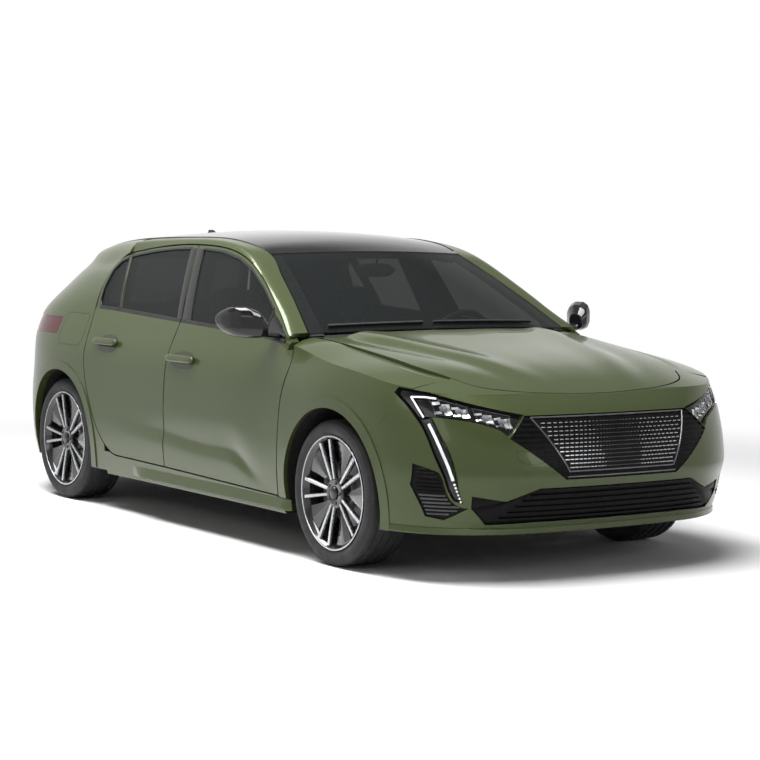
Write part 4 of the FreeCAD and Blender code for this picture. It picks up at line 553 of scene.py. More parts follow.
TYRE_SECTIONS = 144
TYRE_SIDE = [(86, 231.3), (97, 246), (105, 262), (110, 272), (111.5, 281), (109.5, 292), (106, 301),
             (104.6, 303.5), (102.5, 304), (98, 310.5), (93.5, 314.2), (86, 316.4)]
SIDE_RIB = 1.6
TREAD_HALF = 86
TREAD_RADIUS = 317.6
TREAD_CROWN = 0.9
GROOVES = (62, 22, -22, -62)
GROOVE_RADIUS = 311.5
GROOVE_TOP, GROOVE_FLOOR = 6.2, 5
BLOCK_CUT = 5.0
SPOKE_PAIRS = 5
SPOKE_FROM, SPOKE_TO = 40, 232
SPOKE_POINTS = 9
FIN_FROM, FIN_TO = 62, 228
FIN_ROWS = 15
FIN_COLUMNS = 7
NUT_RADIUS = 46
WHEEL_TURN = math.pi


def tyre_piece(name, centre, sign, body):
    """Tyre with round shoulders, sidewall rings and a tread cut in blocks."""
    bm = bmesh.new()
    rings = []
    for i, angle in enumerate(full_turn(TYRE_SECTIONS)):
        line = [(y, r - (SIDE_RIB if i % 2 and 300 < r < 315 else 0)) for y, r in TYRE_SIDE]
        low = BLOCK_CUT if i % 4 == 0 else 0.0
        crown = []
        for edge in GROOVES:
            for y, r in ((edge + GROOVE_TOP, TREAD_RADIUS), (edge + GROOVE_FLOOR, GROOVE_RADIUS),
                         (edge - GROOVE_FLOOR, GROOVE_RADIUS), (edge - GROOVE_TOP, TREAD_RADIUS)):
                r += TREAD_CROWN * (1 - (y / TREAD_HALF) ** 2)
                if r > 314:
                    r -= low if abs(y) > 55 else low * 0.5
                crown.append((y, r))
        profile = line + crown + [(-y, r) for y, r in reversed(line)]
        rings.append([centre + ray_at(angle, y * sign, r) for y, r in profile])
    add_grid(bm, rings, closed_rows=True, closed_columns=True)
    return finish_mesh(name, bm, "tyre", body, 40)


def wheel_fin(bm, centre, sign, middle):
    """Black ribbed fin between two pairs of spokes."""
    grid = []
    for i in range(FIN_ROWS):
        share = i / (FIN_ROWS - 1)
        r = FIN_FROM + (FIN_TO - FIN_FROM) * share
        half_angle = 0.12 + 0.155 * share ** 0.8
        row = []
        for j in range(FIN_COLUMNS):
            u = j / 3 - 1
            rib = 1.6 if i % 2 else 0.0
            dish = 74 + 12 * share ** 1.5 - 5 * abs(u) + rib
            row.append(centre + ray_at(middle + half_angle * u, sign * dish, r))
        grid.append(row)
    add_plate(bm, grid, 7.0, [[Vector((0, sign, 0))] * FIN_COLUMNS] * FIN_ROWS)


def wheel_spoke(bright, black, centre, sign, middle, side):
    """Bright machined spoke on a deeper black one, beside the middle of its pair."""
    path, widths = [], []
    for i in range(SPOKE_POINTS):
        f = i / (SPOKE_POINTS - 1)
        r = SPOKE_FROM + (SPOKE_TO - SPOKE_FROM) * f
        t = middle + math.atan2(side * (10.0 + 30.0 * f ** 1.1), r)
        y = sign * (85 + 11.5 * f ** 1.6 + 3 * math.sin(math.pi * f))
        path.append(centre + ray_at(t, y, r))
        widths.append(10.5 + 4.5 * f)
    ups = [Vector((0, sign, 0))] * SPOKE_POINTS
    add_bar(bright, path, ups, widths, 6.0, 0.45)
    under = [p - Vector((0, sign * 10.0, 0)) for p in path]
    add_bar(black, under, ups, [w + 4.5 for w in widths], 17.0, 0.4)


def rim_pieces(prefix, centre, sign, body):
    """Barrel and fins in black, bright machined spokes, brake disc, nuts and hub cap."""
    barrel, black, bright, cap, disc = [bmesh.new() for _ in range(5)]

    def ring(bm, segments, *profile, about=centre):
        turned([(y * sign, r) for y, r in profile], about, segments, bm)

    ring(barrel, 96, (103.5, 248.6), (104.6, 246.5), (104.2, 240), (99, 236.5), (92, 231), (84, 226),
         (60, 219), (0, 216), (-90, 219), (-99, 232), (-102.4, 248.6), (-100, 249.0), (-88, 230.9),
         (80, 230.9), (97, 248.8))
    ring(barrel, 48, (72, 30), (72, 62), (86, 66), (92, 58), (93, 36), (90, 30))
    ring(cap, 40, (78, 0.4), (99, 0.4), (99.4, 20), (97.5, 25), (94.0, 27.5), (78, 28))
    ring(disc, 72, (3, 75), (3, 149.6), (7, 150), (8.4, 146), (8.8, 146), (10, 150), (14, 149.6), (14, 75))
    ring(disc, 48, (3, 26), (3, 75), (30, 74), (44, 66), (44, 26))
    step = 2 * math.pi / SPOKE_PAIRS
    for k in range(SPOKE_PAIRS):
        middle = WHEEL_TURN + step * k
        gap = middle + step / 2
        wheel_fin(black, centre, sign, gap)
        for side in (-1, 1):
            wheel_spoke(bright, black, centre, sign, middle, side)
        nut = centre + ray_at(gap, 0, NUT_RADIUS)
        ring(cap, 6, (88, 0.3), (96, 0.3), (96.8, 6), (95, 8.4), (88, 8.6), about=nut)
    ring(bright, 96, (101.5, 241.5), (104.9, 243), (105.0, 248.2), (103.4, 248.9))
    return [finish_mesh(prefix + "_barrel", barrel, "dark_wheel", body),
            finish_mesh(prefix + "_blades", black, "dark_wheel", body),
            finish_mesh(prefix + "_spokes", bright, "alloy", body),
            finish_mesh(prefix + "_cap", cap, "black_gloss", body),
            finish_mesh(prefix + "_disc", disc, "steel", body)]


for side, sign in SIDES:
    for end, x, track in (("front", FRONT_AXLE_X, TRACK_FRONT), ("rear", REAR_AXLE_X, TRACK_REAR)):
        centre = Vector((x, sign * track / 2, AXLE_Z))
        body = end + "_wheel_" + side
        name = end + "_" + side
        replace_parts(tyre_piece(name + "_tyre_tread", centre, sign, body), end + "_tyre_" + side)
        for piece in rim_pieces(name + "_wheel", centre, sign, body):
            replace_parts(piece, end + "_rim_" + side)


# Places on the nose and tail from a front view, and on the side windows from a side view

def end_frame(y, z, low, high, rising):
    """Point and outward normal of the skin at y and z, between two stations of the plan."""
    for _ in range(26):
        middle = (low + high) / 2
        low, high = (middle, high) if (skin(middle, z).y < abs(y)) == rising else (low, middle)
    p, n = skin(low, z), skin_normal(low, z)
    return (p, n) if y >= 0 else (Vector((p.x, -p.y, p.z)), Vector((n.x, -n.y, n.z)))


S_WING = s_of_x(1500)
S_QUARTER = s_of_x(-1500)


def nose(y, z, out=0.0):
    """Place on the nose at y and z, and the skin's normal there; tail, flank and sash are alike."""
    p, n = end_frame(y, z, S_WING, S_NOSE, False)
    return p + n * out, n


def tail(y, z, out=0.0):
    p, n = end_frame(y, z, 0.0, S_QUARTER, True)
    return p + n * out, n


def flank(x, z, sign, out=0.0):
    s = s_of_x(x)
    p, n = skin(s, z), skin_normal(s, z)
    p = p + n * out
    return Vector((p.x, p.y * sign, p.z)), Vector((n.x, n.y * sign, n.z))


def sash(x, z, sign, out=0.0):
    n = Vector((0, 0.91, 0.41))
    p = Vector((x, sash_y(x, z) - SASH_INSET, z)) + n * out
    return Vector((p.x, p.y * sign, p.z)), Vector((n.x, n.y * sign, n.z))


def between(points, value):
    """Second number of a polyline at a value of its first number."""
    points = sorted(points)
    if value <= points[0][0]:
        return points[0][1]
    for (a, p), (b, q) in zip(points, points[1:]):
        if value <= b:
            return p + (q - p) * (value - a) / max(b - a, 1e-6)
    return points[-1][1]


def along(points, count):
    """Evenly spaced points of a polyline."""
    points = [Vector(p) for p in points]
    lengths = [0.0]
    for p, q in zip(points, points[1:]):
        lengths.append(lengths[-1] + (q - p).length)
    made = []
    for i in range(count):
        target = lengths[-1] * i / (count - 1)
        k = 0
        while k < len(points) - 2 and target > lengths[k + 1]:
            k += 1
        span = max(lengths[k + 1] - lengths[k], 1e-6)
        made.append(points[k] + (points[k + 1] - points[k]) * ((target - lengths[k]) / span))
    return made


def bar_on(bm, place, ends, count, out, width, height, corner=0.4):
    """Bar over places of a surface along a polyline of its two coordinates."""
    line = [place(p[0], p[1], out) for p in along([e + (0,) for e in ends], count)]
    add_bar(bm, [p for p, n in line], [n for p, n in line], width, height, corner)


def plate_on(bm, place, edge_a, edge_b, columns, rows, out, thickness, dome=0.0):
    """Plate between two polylines of a surface's coordinates."""
    first = along([e + (0,) for e in edge_a], columns)
    second = along([e + (0,) for e in edge_b], columns)
    grid, normals = [], []
    for i, (p, q) in enumerate(zip(first, second)):
        line = []
        for j in range(rows):
            v = j / (rows - 1)
            rise = dome * 4 * v * (1 - v)
            line.append(place(p.x + (q.x - p.x) * v, p.y + (q.y - p.y) * v, out + rise))
        grid.append([entry[0] for entry in line])
        normals.append([entry[1] for entry in line])
    add_plate(bm, grid, thickness, normals)


# Upper grille: rows of dashes that shrink to dots, slats at its sides, frame


def panel_half(z):
    """Half width of the grille's panel of dashes."""
    return between([(473, 281), (685, 409)], z)


DASH_ROWS, DASH_LOW, DASH_PITCH = 12, 486, 16.6
DASHES_A_SIDE = 17
DOT_SHARE = 0.42
dashes = bmesh.new()
dots = bmesh.new()
for row in range(DASH_ROWS):
    z = DASH_LOW + row * DASH_PITCH
    half = panel_half(z) - 20
    for k in range(-DASHES_A_SIDE, DASHES_A_SIDE + 1):
        u = (k + (0.5 if row % 2 else 0.0)) / DASHES_A_SIDE
        if abs(u) > 1:
            continue
        y = half * (0.6 * u + 0.4 * u * abs(u))
        reach = 2.0 + 7.5 * abs(u) ** 1.2
        bar_on(dashes if abs(u) > DOT_SHARE else dots, nose, [(y - reach, z), (y + reach, z)], 3, -4.2,
               2.8 + 2.0 * abs(u), 5.0, 0.5)
finish_mesh("grille_dashes", dashes, "alloy")
finish_mesh("grille_dots", dots, "grey_gloss")

SLAT_ROWS, SLAT_LOW, SLAT_PITCH = 12, 456, 20.5
PANEL_FOOT = 476
slats = bmesh.new()
frame_bars = bmesh.new()
for _, sign in SIDES:
    for k in range(SLAT_ROWS):
        z = SLAT_LOW + k * SLAT_PITCH
        outer = between([(436, 298), (608, 530), (698, 437)], z) - 9
        inner = panel_half(z) + 9 if z > PANEL_FOOT else 12
        if outer - inner > 14:
            bar_on(slats, nose, [(sign * inner, z), (sign * outer, z)], 9, -3.2, 9.0, 7.0, 0.6)
    bar_on(frame_bars, nose, [(sign * 412, 691), (sign * 280, 470)], 9, -3.0, 7.0, 7.0)
for half, z, count, out in ((412, 691, 31, -3.0), (283, 470, 25, -2.6), (290, 448, 25, -2.6)):
    bar_on(frame_bars, nose, [(-half, z), (half, z)], count, out, 6.0, 7.0)
finish_mesh("grille_side_slats", slats, "deep_black")
finish_mesh("grille_frame", frame_bars, "grey_gloss")

# Lower intake: slats and the slanted blades at its ends

INTAKE_ROWS, INTAKE_LOW, INTAKE_PITCH = 6, 274, 24
low_slats = bmesh.new()
blades = bmesh.new()
for k in range(INTAKE_ROWS):
    z = INTAKE_LOW + k * INTAKE_PITCH
    end = between([(256, 588), (403, 404)], z) - 12
    bar_on(low_slats, nose, [(-end, z), (end, z)], 41, -5.0, 8.0, 12.0, 0.5)
for _, sign in SIDES:
    plate_on(blades, nose, [(sign * 412, 398), (sign * 594, 256)], [(sign * 530, 348), (sign * 655, 318)],
             9, 7, -7.2, 2.5, 6.0)
    plate_on(blades, nose, [(sign * 560, 352), (sign * 658, 322)], [(sign * 560, 358), (sign * 664, 366)],
             9, 4, -7.0, 2.5, 3.0)
finish_mesh("intake_slats", low_slats, "deep_black")
finish_mesh("intake_blades", blades, "deep_black")

# Corner vents: dark slats above, grey grooves below

VENT_OUTER = [(282, 790), (412, 834), (500, 832)]
VENT_INNER = [(282, 745), (322, 684), (326, 706), (343, 730), (392, 756), (448, 774), (470, 786), (500, 826)]
VENT_ROWS, VENT_LOW, VENT_PITCH = 13, 294, 15.5
GROOVE_TOP_Z = 385
vent_dark = bmesh.new()
vent_grey = bmesh.new()
for _, sign in SIDES:
    for k in range(VENT_ROWS):
        z = VENT_LOW + k * VENT_PITCH
        y0, y1 = between(VENT_INNER, z) + 5, between(VENT_OUTER, z) - 3
        if y1 - y0 > 12:
            bm, width = (vent_grey, 8.0) if z < GROOVE_TOP_Z else (vent_dark, 6.0)
            bar_on(bm, nose, [(sign * y0, z), (sign * y1, z)], 7, -4.0, width, 9.0, 0.5)
finish_mesh("vent_slats", vent_dark, "deep_black")
finish_mesh("vent_grooves", vent_grey, "grey_matte")

# Headlamps: dark housing, white guide in an L, daytime strip with dots, two lens units

HOUSING = ([(846, 783), (838, 800), (762, 783), (679, 753), (560, 721), (446, 699)],
           [(816, 692), (779, 697), (700, 688), (625, 672), (562, 650), (530, 620)])
STRIP_BED = ([(812, 680), (798, 610), (786, 540), (764, 456), (745, 400), (719, 355), (697, 346)],
             [(779, 690), (763, 612), (741, 520), (722, 420), (697, 345), (696, 344), (695, 343)])
UNIT_TOP = [(436, 695), (560, 716), (679, 748), (762, 776), (838, 790)]
UNIT_LOW = [(500, 640), (562, 655), (625, 676), (700, 692), (779, 701), (820, 706)]
UNITS = ((655, 776), (500, 640))
LENS = ((17, -5), (16.5, 0), (12, 3.4), (6, 5.0), (1, 5.4))


def unit_top(y):
    return between(UNIT_TOP, y) - 6


def unit_low(y):
    return between(UNIT_LOW, y) + 6


def flipped(points, sign):
    return [(sign * y, z) for y, z in points]


housing, guides, shine, lenses, trims = [bmesh.new() for _ in range(5)]
for _, sign in SIDES:
    plate_on(housing, nose, flipped(HOUSING[0], sign), flipped(HOUSING[1], sign), 25, 7, -20.0, 3.0)
    plate_on(housing, nose, flipped(STRIP_BED[0], sign), flipped(STRIP_BED[1], sign), 21, 4, -14.0, 3.0)
    for line, count, out, width, height in (
            ([(818, 771), (786, 772), (752, 767)], 9, -3.6, 8.0, 5.0),
            ([(820, 772), (813, 735), (802, 690)], 9, -3.6, 8.0, 5.0),
            ([(792, 664), (778, 600), (765, 540), (746, 462), (738, 436)], 21, -3.0, 12.5, 4.0)):
        bar_on(guides, nose, flipped(line, sign), count, out, width, height)
    for k in range(6):
        y, z = 731 - k * 6.0, 420 - k * 14.5
        dot = [(y + 1.5, z + 4), (y - 1.5, z - 4)]
        bar_on(guides, nose, flipped(dot, sign), 2, -3.0, 10.0 - k * 0.7, 4.0)
    for y0, y1 in UNITS:
        for k in range(4):
            a, b = y0 + (y1 - y0) * k / 4, y0 + (y1 - y0) * (k + 0.86) / 4
            upper = flipped([(a, unit_top(a) - 4), (b, unit_top(b) - 14)], sign)
            lower = flipped([(a, unit_low(a) + 10), (b, unit_low(b))], sign)
            plate_on(shine, nose, upper, lower, 4, 4, -15.0 - 2 * (k % 2), 2.0, -5.0)
        ring = [(y0, unit_top(y0)), (y1, unit_top(y1)), (y1 - 10, unit_low(y1 - 10)),
                (y0 + 14, unit_low(y0 + 14)), (y0, unit_top(y0))]
        bar_on(trims, nose, flipped(ring, sign), 29, -6.0, 2.6, 3.0)
        for share in (0.28, 0.7):
            y = y0 + (y1 - y0) * share
            centre, normal = nose(sign * y, (unit_top(y) + unit_low(y)) / 2, -9.0)
            add_loft(lenses, round_rings(centre, normal, LENS, squash=0.8))
finish_mesh("headlamp_housing", housing, "black_gloss")
finish_mesh("headlamp_guides", guides, "white_light")
finish_mesh("headlamp_reflectors", shine, "chrome", smooth=20)
finish_mesh("headlamp_lenses", lenses, "lens_glass", smooth=40)
finish_mesh("headlamp_trims", trims, "grey_gloss")

# Bumper lip, tow cover's outline, parking sensors

LIP_START_X = 1705
LIP_Z = 222
lip = bmesh.new()
path, ups = [], []
start = s_of_x(LIP_START_X)
for s in steps(start, 2 * S_NOSE - start, 61):
    path.append(on_skin(s, LIP_Z, 1.5))
    ups.append(skin_normal(s, LIP_Z) + Vector((0, 0, 0.42)))
add_bar(lip, path, ups, 31.0, 17.0, 0.45)
finish_mesh("bumper_lip", lip, "paint")
seams = bmesh.new()
bar_on(seams, nose, [(-515, 562), (-408, 552), (-402, 508), (-480, 506), (-515, 528), (-515, 562)], 31,
       0.1, 1.4, 1.0)
finish_mesh("tow_cover_seam", seams, "black_matte")
SENSOR = ((10, 0), (10, 2.6), (8.6, 3.2), (7.8, 2.6), (2, 2.4))
sensors = bmesh.new()
for place, spots in ((nose, ((610, 470), (250, 425))), (tail, ((560, 500), (230, 500)))):
    for y, z in spots:
        for _, sign in SIDES:
            centre, normal = place(sign * y, z, -2.0)
            add_loft(sensors, round_rings(centre, normal, SENSOR))
finish_mesh("parking_sensors", sensors, "paint")

# Sides: window trims, pillar covers, belt mouldings, handles with painted shade behind them, sill blades,
# fuel flap

CUP_LIP = ((1.0, 0.1), (0.95, 1.3), (0.88, 0.9), (0.6, 0.8), (0.3, 0.8), (0.02, 0.8))
CUP_HALF_HEIGHT, CUP_MARGIN, CUP_DROP = 47, 8, 4
GRIP_HALF_HEIGHT, GRIP_MARGIN = 17, 17
GRIP_OUT, GRIP_HALF_DEPTH = 19, 10.5
BLADE_REAR_X, BLADE_FRONT_X = -578, 962


def head(x):
    """Top of the side glass."""
    return FRAME_TOP(x) - 20.0


def sill(x):
    """Foot of the side glass."""
    return BELT(x) + 12.0


def front_window_trim(place):
    bm = bmesh.new()
    plate_on(bm, place, [(-120, sill(-120)), (-262, head(-262) + 4)],
             [(-203, sill(-203)), (-326, head(-326) + 4)], 13, 5, 1.6, 3.0, 1.2)
    top_line = [(592, head(592) + 5)] + [(x, head(x) + 5) for x in (440, 280, 120, -60, -262)]
    bar_on(bm, place, top_line, 41, 0.8, 11.0, 3.6)
    bar_on(bm, place, [(606, sill(606) + 2), (600, head(600))], 9, 0.8, 10.0, 4.0)
    plate_on(bm, place, [(612, sill(612) + 2), (700, sill(700)), (782, sill(782) - 4)],
             [(612, head(612) + 2), (700, head(700) + 8), (786, head(786) + 12)], 13, 6, 1.0, 2.6, 0.8)
    return bm


def rear_window_trim(place):
    bm = bmesh.new()
    plate_on(bm, place, [(-258, sill(-258)), (-394, head(-394) + 4)],
             [(-213, sill(-213)), (-339, head(-339) + 4)], 13, 5, 1.6, 3.0, 1.2)
    top_line = [(x, head(x) + 5) for x in (-392, -540, -700, -860, -975)] + [(-1004, head(-1004) + 3)]
    end_line = [(-1064, 1266), (-1112, 1217), (-1130, 1130), (-1118, 1056), (-1096, sill(-1096))]
    bar_on(bm, place, top_line + end_line, 51, 0.8, 11.0, 3.6)
    bar_on(bm, place, [(-880, sill(-880)), (-987, head(-987))], 13, 1.0, 20.0, 4.0)
    return bm


def handle_recess_shade(place, middle, half, z):
    """Shallow bowl behind a door handle, with a soft lip, in darker paint: painted shade where the recess
    would be.
    """
    bm = bmesh.new()
    rows = []
    for t in full_turn(32):
        rows.append([place(middle + (half + CUP_MARGIN) * r * math.cos(t),
                           z - CUP_DROP + CUP_HALF_HEIGHT * r * math.sin(t), out)[0]
                     for r, out in CUP_LIP])
    add_grid(bm, rows, closed_rows=True)
    return bm


def handle_grip(place, middle, half, z):
    """Rounded bar in front of the cup."""
    bm = bmesh.new()
    rings = []
    for u in steps(-0.995, 0.995, 25):
        swell = (1 - u ** 8) ** 0.5
        ring = []
        for t in full_turn(16):
            c, s = math.cos(t), math.sin(t)
            shape = swell * (abs(c) ** 3 + abs(s) ** 3) ** (-1 / 3)
            ring.append(place(middle + (half + GRIP_MARGIN) * u, z + GRIP_HALF_HEIGHT * c * shape,
                              GRIP_OUT + GRIP_HALF_DEPTH * s * shape)[0])
        rings.append(ring)
    add_loft(bm, rings)
    return bm


def sill_blade(sign):
    """Blade below the doors that thins out at both ends."""
    bm = bmesh.new()
    rings = []
    for x in steps(BLADE_REAR_X, BLADE_FRONT_X, 41):
        share = min(max((x - BLADE_REAR_X) / 115, 0.06), 1.0)
        share *= min(max((BLADE_FRONT_X + 6 - x) / 30, 0.2), 1.0)
        rings.append([flank(x, z, sign, out * share)[0] for out, z in
                      ((0.5 / share, 253), (24, 216), (25, 209), (22, 205), (-8, 205), (-8, 240))])
    add_loft(bm, rings)
    return bm


for side, sign in SIDES:
    on_glass = lambda x, z, out=0.0: sash(x, z, sign, out)
    on_door = lambda x, z, out=0.0: flank(x, z, sign, out)
    for end, window_trim, belt_from, belt_to, handle_from, handle_to, handle_z in (
            ("front", front_window_trim, 792, -203, -182, 55, 816),
            ("rear", rear_window_trim, -213, -1098, -984, -768, 855)):
        body = end + "_door_" + side + "_body"
        finish_mesh(end + "_window_trim_" + side, window_trim(on_glass), "black_gloss", body)
        belt = bmesh.new()
        belt_line = [(x, BELT(x) + 3) for x in steps(belt_from, belt_to, 21)]
        bar_on(belt, on_glass, belt_line, 41, 1.4, 19.0, 7.0, 0.6)
        finish_mesh(end + "_belt_moulding_" + side, belt, "black_matte", body)
        spot = ((handle_from + handle_to) / 2, (handle_to - handle_from) / 2, handle_z)
        # Dark disc behind each handle: painted shade of the handle's recess
        finish_mesh(end + "_handle_recess_shade_" + side, handle_recess_shade(on_door, *spot), "recess_shade_paint", body, 40)
        finish_mesh(end + "_handle_grip_" + side, handle_grip(on_door, *spot), "paint", body, 50)
    finish_mesh("sill_blade_" + side, sill_blade(sign), "paint", smooth=25)
flap = bmesh.new()
flap_edge = [(-1400, 990), (-1180, 990), (-1160, 970), (-1160, 850), (-1185, 825), (-1395, 825), (-1420, 848),
             (-1420, 970), (-1400, 990)]
bar_on(flap, lambda x, z, out: flank(x, z, -1, out), flap_edge, 61, 0.1, 1.6, 1.0)
finish_mesh("fuel_flap_seam", flap, "black_matte")

# Mirrors: the solid's facets smoothed

MIRROR_VOXEL = 0.005
for side, _ in SIDES:
    shell = nodes["mirror_" + side]
    remesh = shell.modifiers.new("even", "REMESH")
    remesh.mode = "VOXEL"
    remesh.voxel_size = MIRROR_VOXEL
    remesh.use_smooth_shade = True
    smooth = shell.modifiers.new("smooth", "SMOOTH")
    smooth.factor = 0.6
    smooth.iterations = 9

# Tail: plate, lamps across the gate, diffuser fins, reflectors

plate_face, plate_frame, gate_bars, fins, reflectors = [bmesh.new() for _ in range(5)]
plate_on(plate_face, tail, [(-260, 800), (0, 800), (260, 800)], [(-260, 690), (0, 690), (260, 690)],
         15, 5, 3.0, 2.5)
bar_on(plate_frame, tail, [(-268, 806), (268, 806), (268, 684), (-268, 684), (-268, 806)], 61, 3.0, 8.0, 6.0)
for z in (898, 914, 930):
    bar_on(gate_bars, tail, [(-560, z), (560, z)], 41, 1.2, 6.0, 5.0, 0.6)
for y in (-400, -280, -160, 160, 280, 400):
    bar_on(fins, tail, [(y, 212), (y, 322)], 7, 6.0, 8.0, 22.0, 0.3)
bar_on(fins, tail, [(-505, 322), (505, 322)], 31, 4.0, 8.0, 12.0)
for _, sign in SIDES:
    plate_on(reflectors, tail, [(sign * 600, 392), (sign * 730, 398)], [(sign * 600, 372), (sign * 730, 378)],
             9, 3, 2.0, 3.0, 1.0)
finish_mesh("rear_plate_blank", plate_face, "plate", "tailgate_panel")
finish_mesh("rear_plate_frame", plate_frame, "black_matte", "tailgate_panel")
finish_mesh("tailgate_lamp_bars", gate_bars, "red_glow", "tailgate_panel")
finish_mesh("diffuser_fins", fins, "black_gloss")
finish_mesh("rear_reflectors", reflectors, "red_glow")

# Cabin: padded seats shaped in code, in the space of the seat solids

SEAM_WIDTH, SEAM_DEPTH = 0.045, 7.0
BULGE, ROUNDING = 0.08, 5.0
BACK_LEAN = -14


def cushion(name, centre, half, lean=0.0, pivot=None, seams=()):
    """Crowned closed pad with sewn channels across its face; seams are (axis, place from -1 to 1)."""
    bm = bmesh.new()
    bmesh.ops.create_cube(bm, size=2.0)
    bmesh.ops.subdivide_edges(bm, edges=bm.edges, cuts=15, use_grid_fill=True)
    turn = Matrix.Rotation(math.radians(lean), 3, "Y")
    pivot = Vector(pivot or centre)
    for vertex in bm.verts:
        p = vertex.co.copy()
        p = p / sum(abs(c) ** ROUNDING for c in p) ** (1 / ROUNDING)
        flat = [1 - c * c for c in p]
        crown = 1 - BULGE + BULGE * flat[0] * flat[1]
        crown_x = 1 - BULGE + BULGE * flat[2] * flat[1]
        waist = 1 - 0.03 * flat[2] - 0.02 * flat[0]
        groove = sum(math.exp(-((p[axis] - at) / SEAM_WIDTH) ** 2) for axis, at in seams)
        q = Vector((p.x * half[0] * crown_x, p.y * half[1] * waist, p.z * half[2] * crown))
        length = max(q.length, 1.0)
        q -= q / length * min(groove * SEAM_DEPTH, 12.0)
        vertex.co = turn @ (Vector(centre) + q - pivot) + pivot
    made = finish_mesh(name, bm, "fabric", smooth=60)
    return made


first_pad = None
for label, sign in SIDES:
    y = sign * 375
    pad = cushion("seat_base_" + label, (-65, y, 372), (238, 150, 66), 0, None,
                  ((0, 0.1), (0, 0.55), (0, -0.35)))
    first_pad = first_pad or pad
    pivot = (-345, y, 400)
    cushion("seat_back_" + label, (-342, y, 680), (48, 145, 265), BACK_LEAN, pivot,
            ((2, 0.3), (2, 0.65), (2, -0.1), (2, -0.5)))
    for k in (1, -1):
        cushion("seat_side_%s_%d" % (label, k + 1), (-60, y + k * 192, 384), (235, 46, 62))
        cushion("back_side_%s_%d" % (label, k + 1), (-332, y + k * 186, 650), (52, 44, 235), BACK_LEAN, pivot)
    cushion("headrest_" + label, (-480, y, 1068), (38, 112, 76), -8, None, ((1, 0.75), (1, -0.75)))
for k, y in enumerate((-385, 0, 385)):
    cushion("bench_base_%d" % k, (-671, y, 378), (196, 190, 66), 0, None, ((0, 0.2), (0, -0.4)))
    cushion("bench_back_%d" % k, (-952, y, 690), (48, 190, 262), BACK_LEAN, (-955, 0, 400),
            ((2, 0.45), (2, 0.0), (2, -0.45)))
for label, sign in SIDES:
    cushion("bench_headrest_" + label, (-1112, sign * 330, 1004), (32, 104, 60), -8)
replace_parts(first_pad, "cabin_seats")
seat_irons = bmesh.new()
for x, width, ys, zs in ((-478, 12.0, (320, 420, -320, -420), (930, 980, 1030)),
                         (-1100, 11.0, (-385, -275, 275, 385), (900, 940, 975))):
    for y in ys:
        add_bar(seat_irons, [Vector((x, y, z)) for z in zs], [Vector((0, 1, 0))] * 3, width, width, 0.6)
for y in (200, 550, -200, -550):
    add_block(seat_irons, -250, 120, y - 18, y + 18, 172, 318, 6)
for y in (-370, 370):
    add_block(seat_irons, -865, -500, y - 25, y + 25, 172, 322, 6)
finish_mesh("seat_frames", seat_irons, "steel")

# Dashboard: hood over the dials, screen, vents; console between the seats

dash = bmesh.new()
add_block(dash, 566, 596, 250, 500, 905, 962, 8)
add_block(dash, 560, 578, -130, 150, 820, 905, 5)
for y in (-600, -230, 230, 600):
    for k in range(4):
        add_block(dash, 560, 586, y - 55, y + 55, 838 + k * 13, 844 + k * 13, 2)
finish_mesh("dashboard_fittings", dash, "black_gloss")
console = bmesh.new()
add_block(console, -230, 560, -95, 95, 292, 400, 14)
add_block(console, -230, 60, -85, 85, 400, 470, 14)
finish_mesh("centre_console", console, "black_matte")

# Wheel arch liners between the wells and the flanks, with pressed ribs

LINER_RADIUS = 381.0
LINER_RIB = 1.5
LINER_POINTS = 49
for side, sign in SIDES:
    for end, axle, inner_y in (("front", FRONT_AXLE_X, 826.0), ("rear", REAR_AXLE_X, 806.0)):
        liner = bmesh.new()
        grid, normals = [], []
        for k, degrees in enumerate(steps(-14, 194, LINER_POINTS)):
            turn = math.radians(degrees)
            ray = Vector((math.cos(turn), 0, math.sin(turn)))
            reach = LINER_RADIUS + (LINER_RIB if k % 2 else 0.0)
            x, z = axle + reach * ray.x, AXLE_Z + reach * ray.z
            outer_y = flank(x, max(z, 210), 1)[0].y - 11
            grid.append([Vector((x, sign * y, z)) - ray * j
                         for j, y in enumerate(steps(inner_y, outer_y, 5))])
            normals.append([-ray] * 5)
        add_plate(liner, grid, 2.2, normals)
        finish_mesh(end + "_arch_liner_" + side, liner, "under")

# Door cards with armrest, pull and pocket; boot trims and parcel shelf

def relief_plate(bm, columns, rows, x0, x1, z0, z1, y, sign, relief, thickness):
    """Upright plate facing the cabin, its face raised by relief(x, z)."""
    grid = [[Vector((x, sign * (y - relief(x, z)), z)) for z in steps(z0(x), z1(x), rows)]
            for x in steps(x0, x1, columns)]
    add_plate(bm, grid, thickness, [[Vector((0, -sign, 0))] * rows] * columns)


def hump(value, middle, width):
    return math.exp(-((value - middle) / width) ** 2)


def window_of(value, low, high, soft=30.0):
    """One between two values, nought outside, with soft ends."""
    return 1 / (1 + math.exp(-(value - low) / soft * 3)) / (1 + math.exp((value - high) / soft * 3))


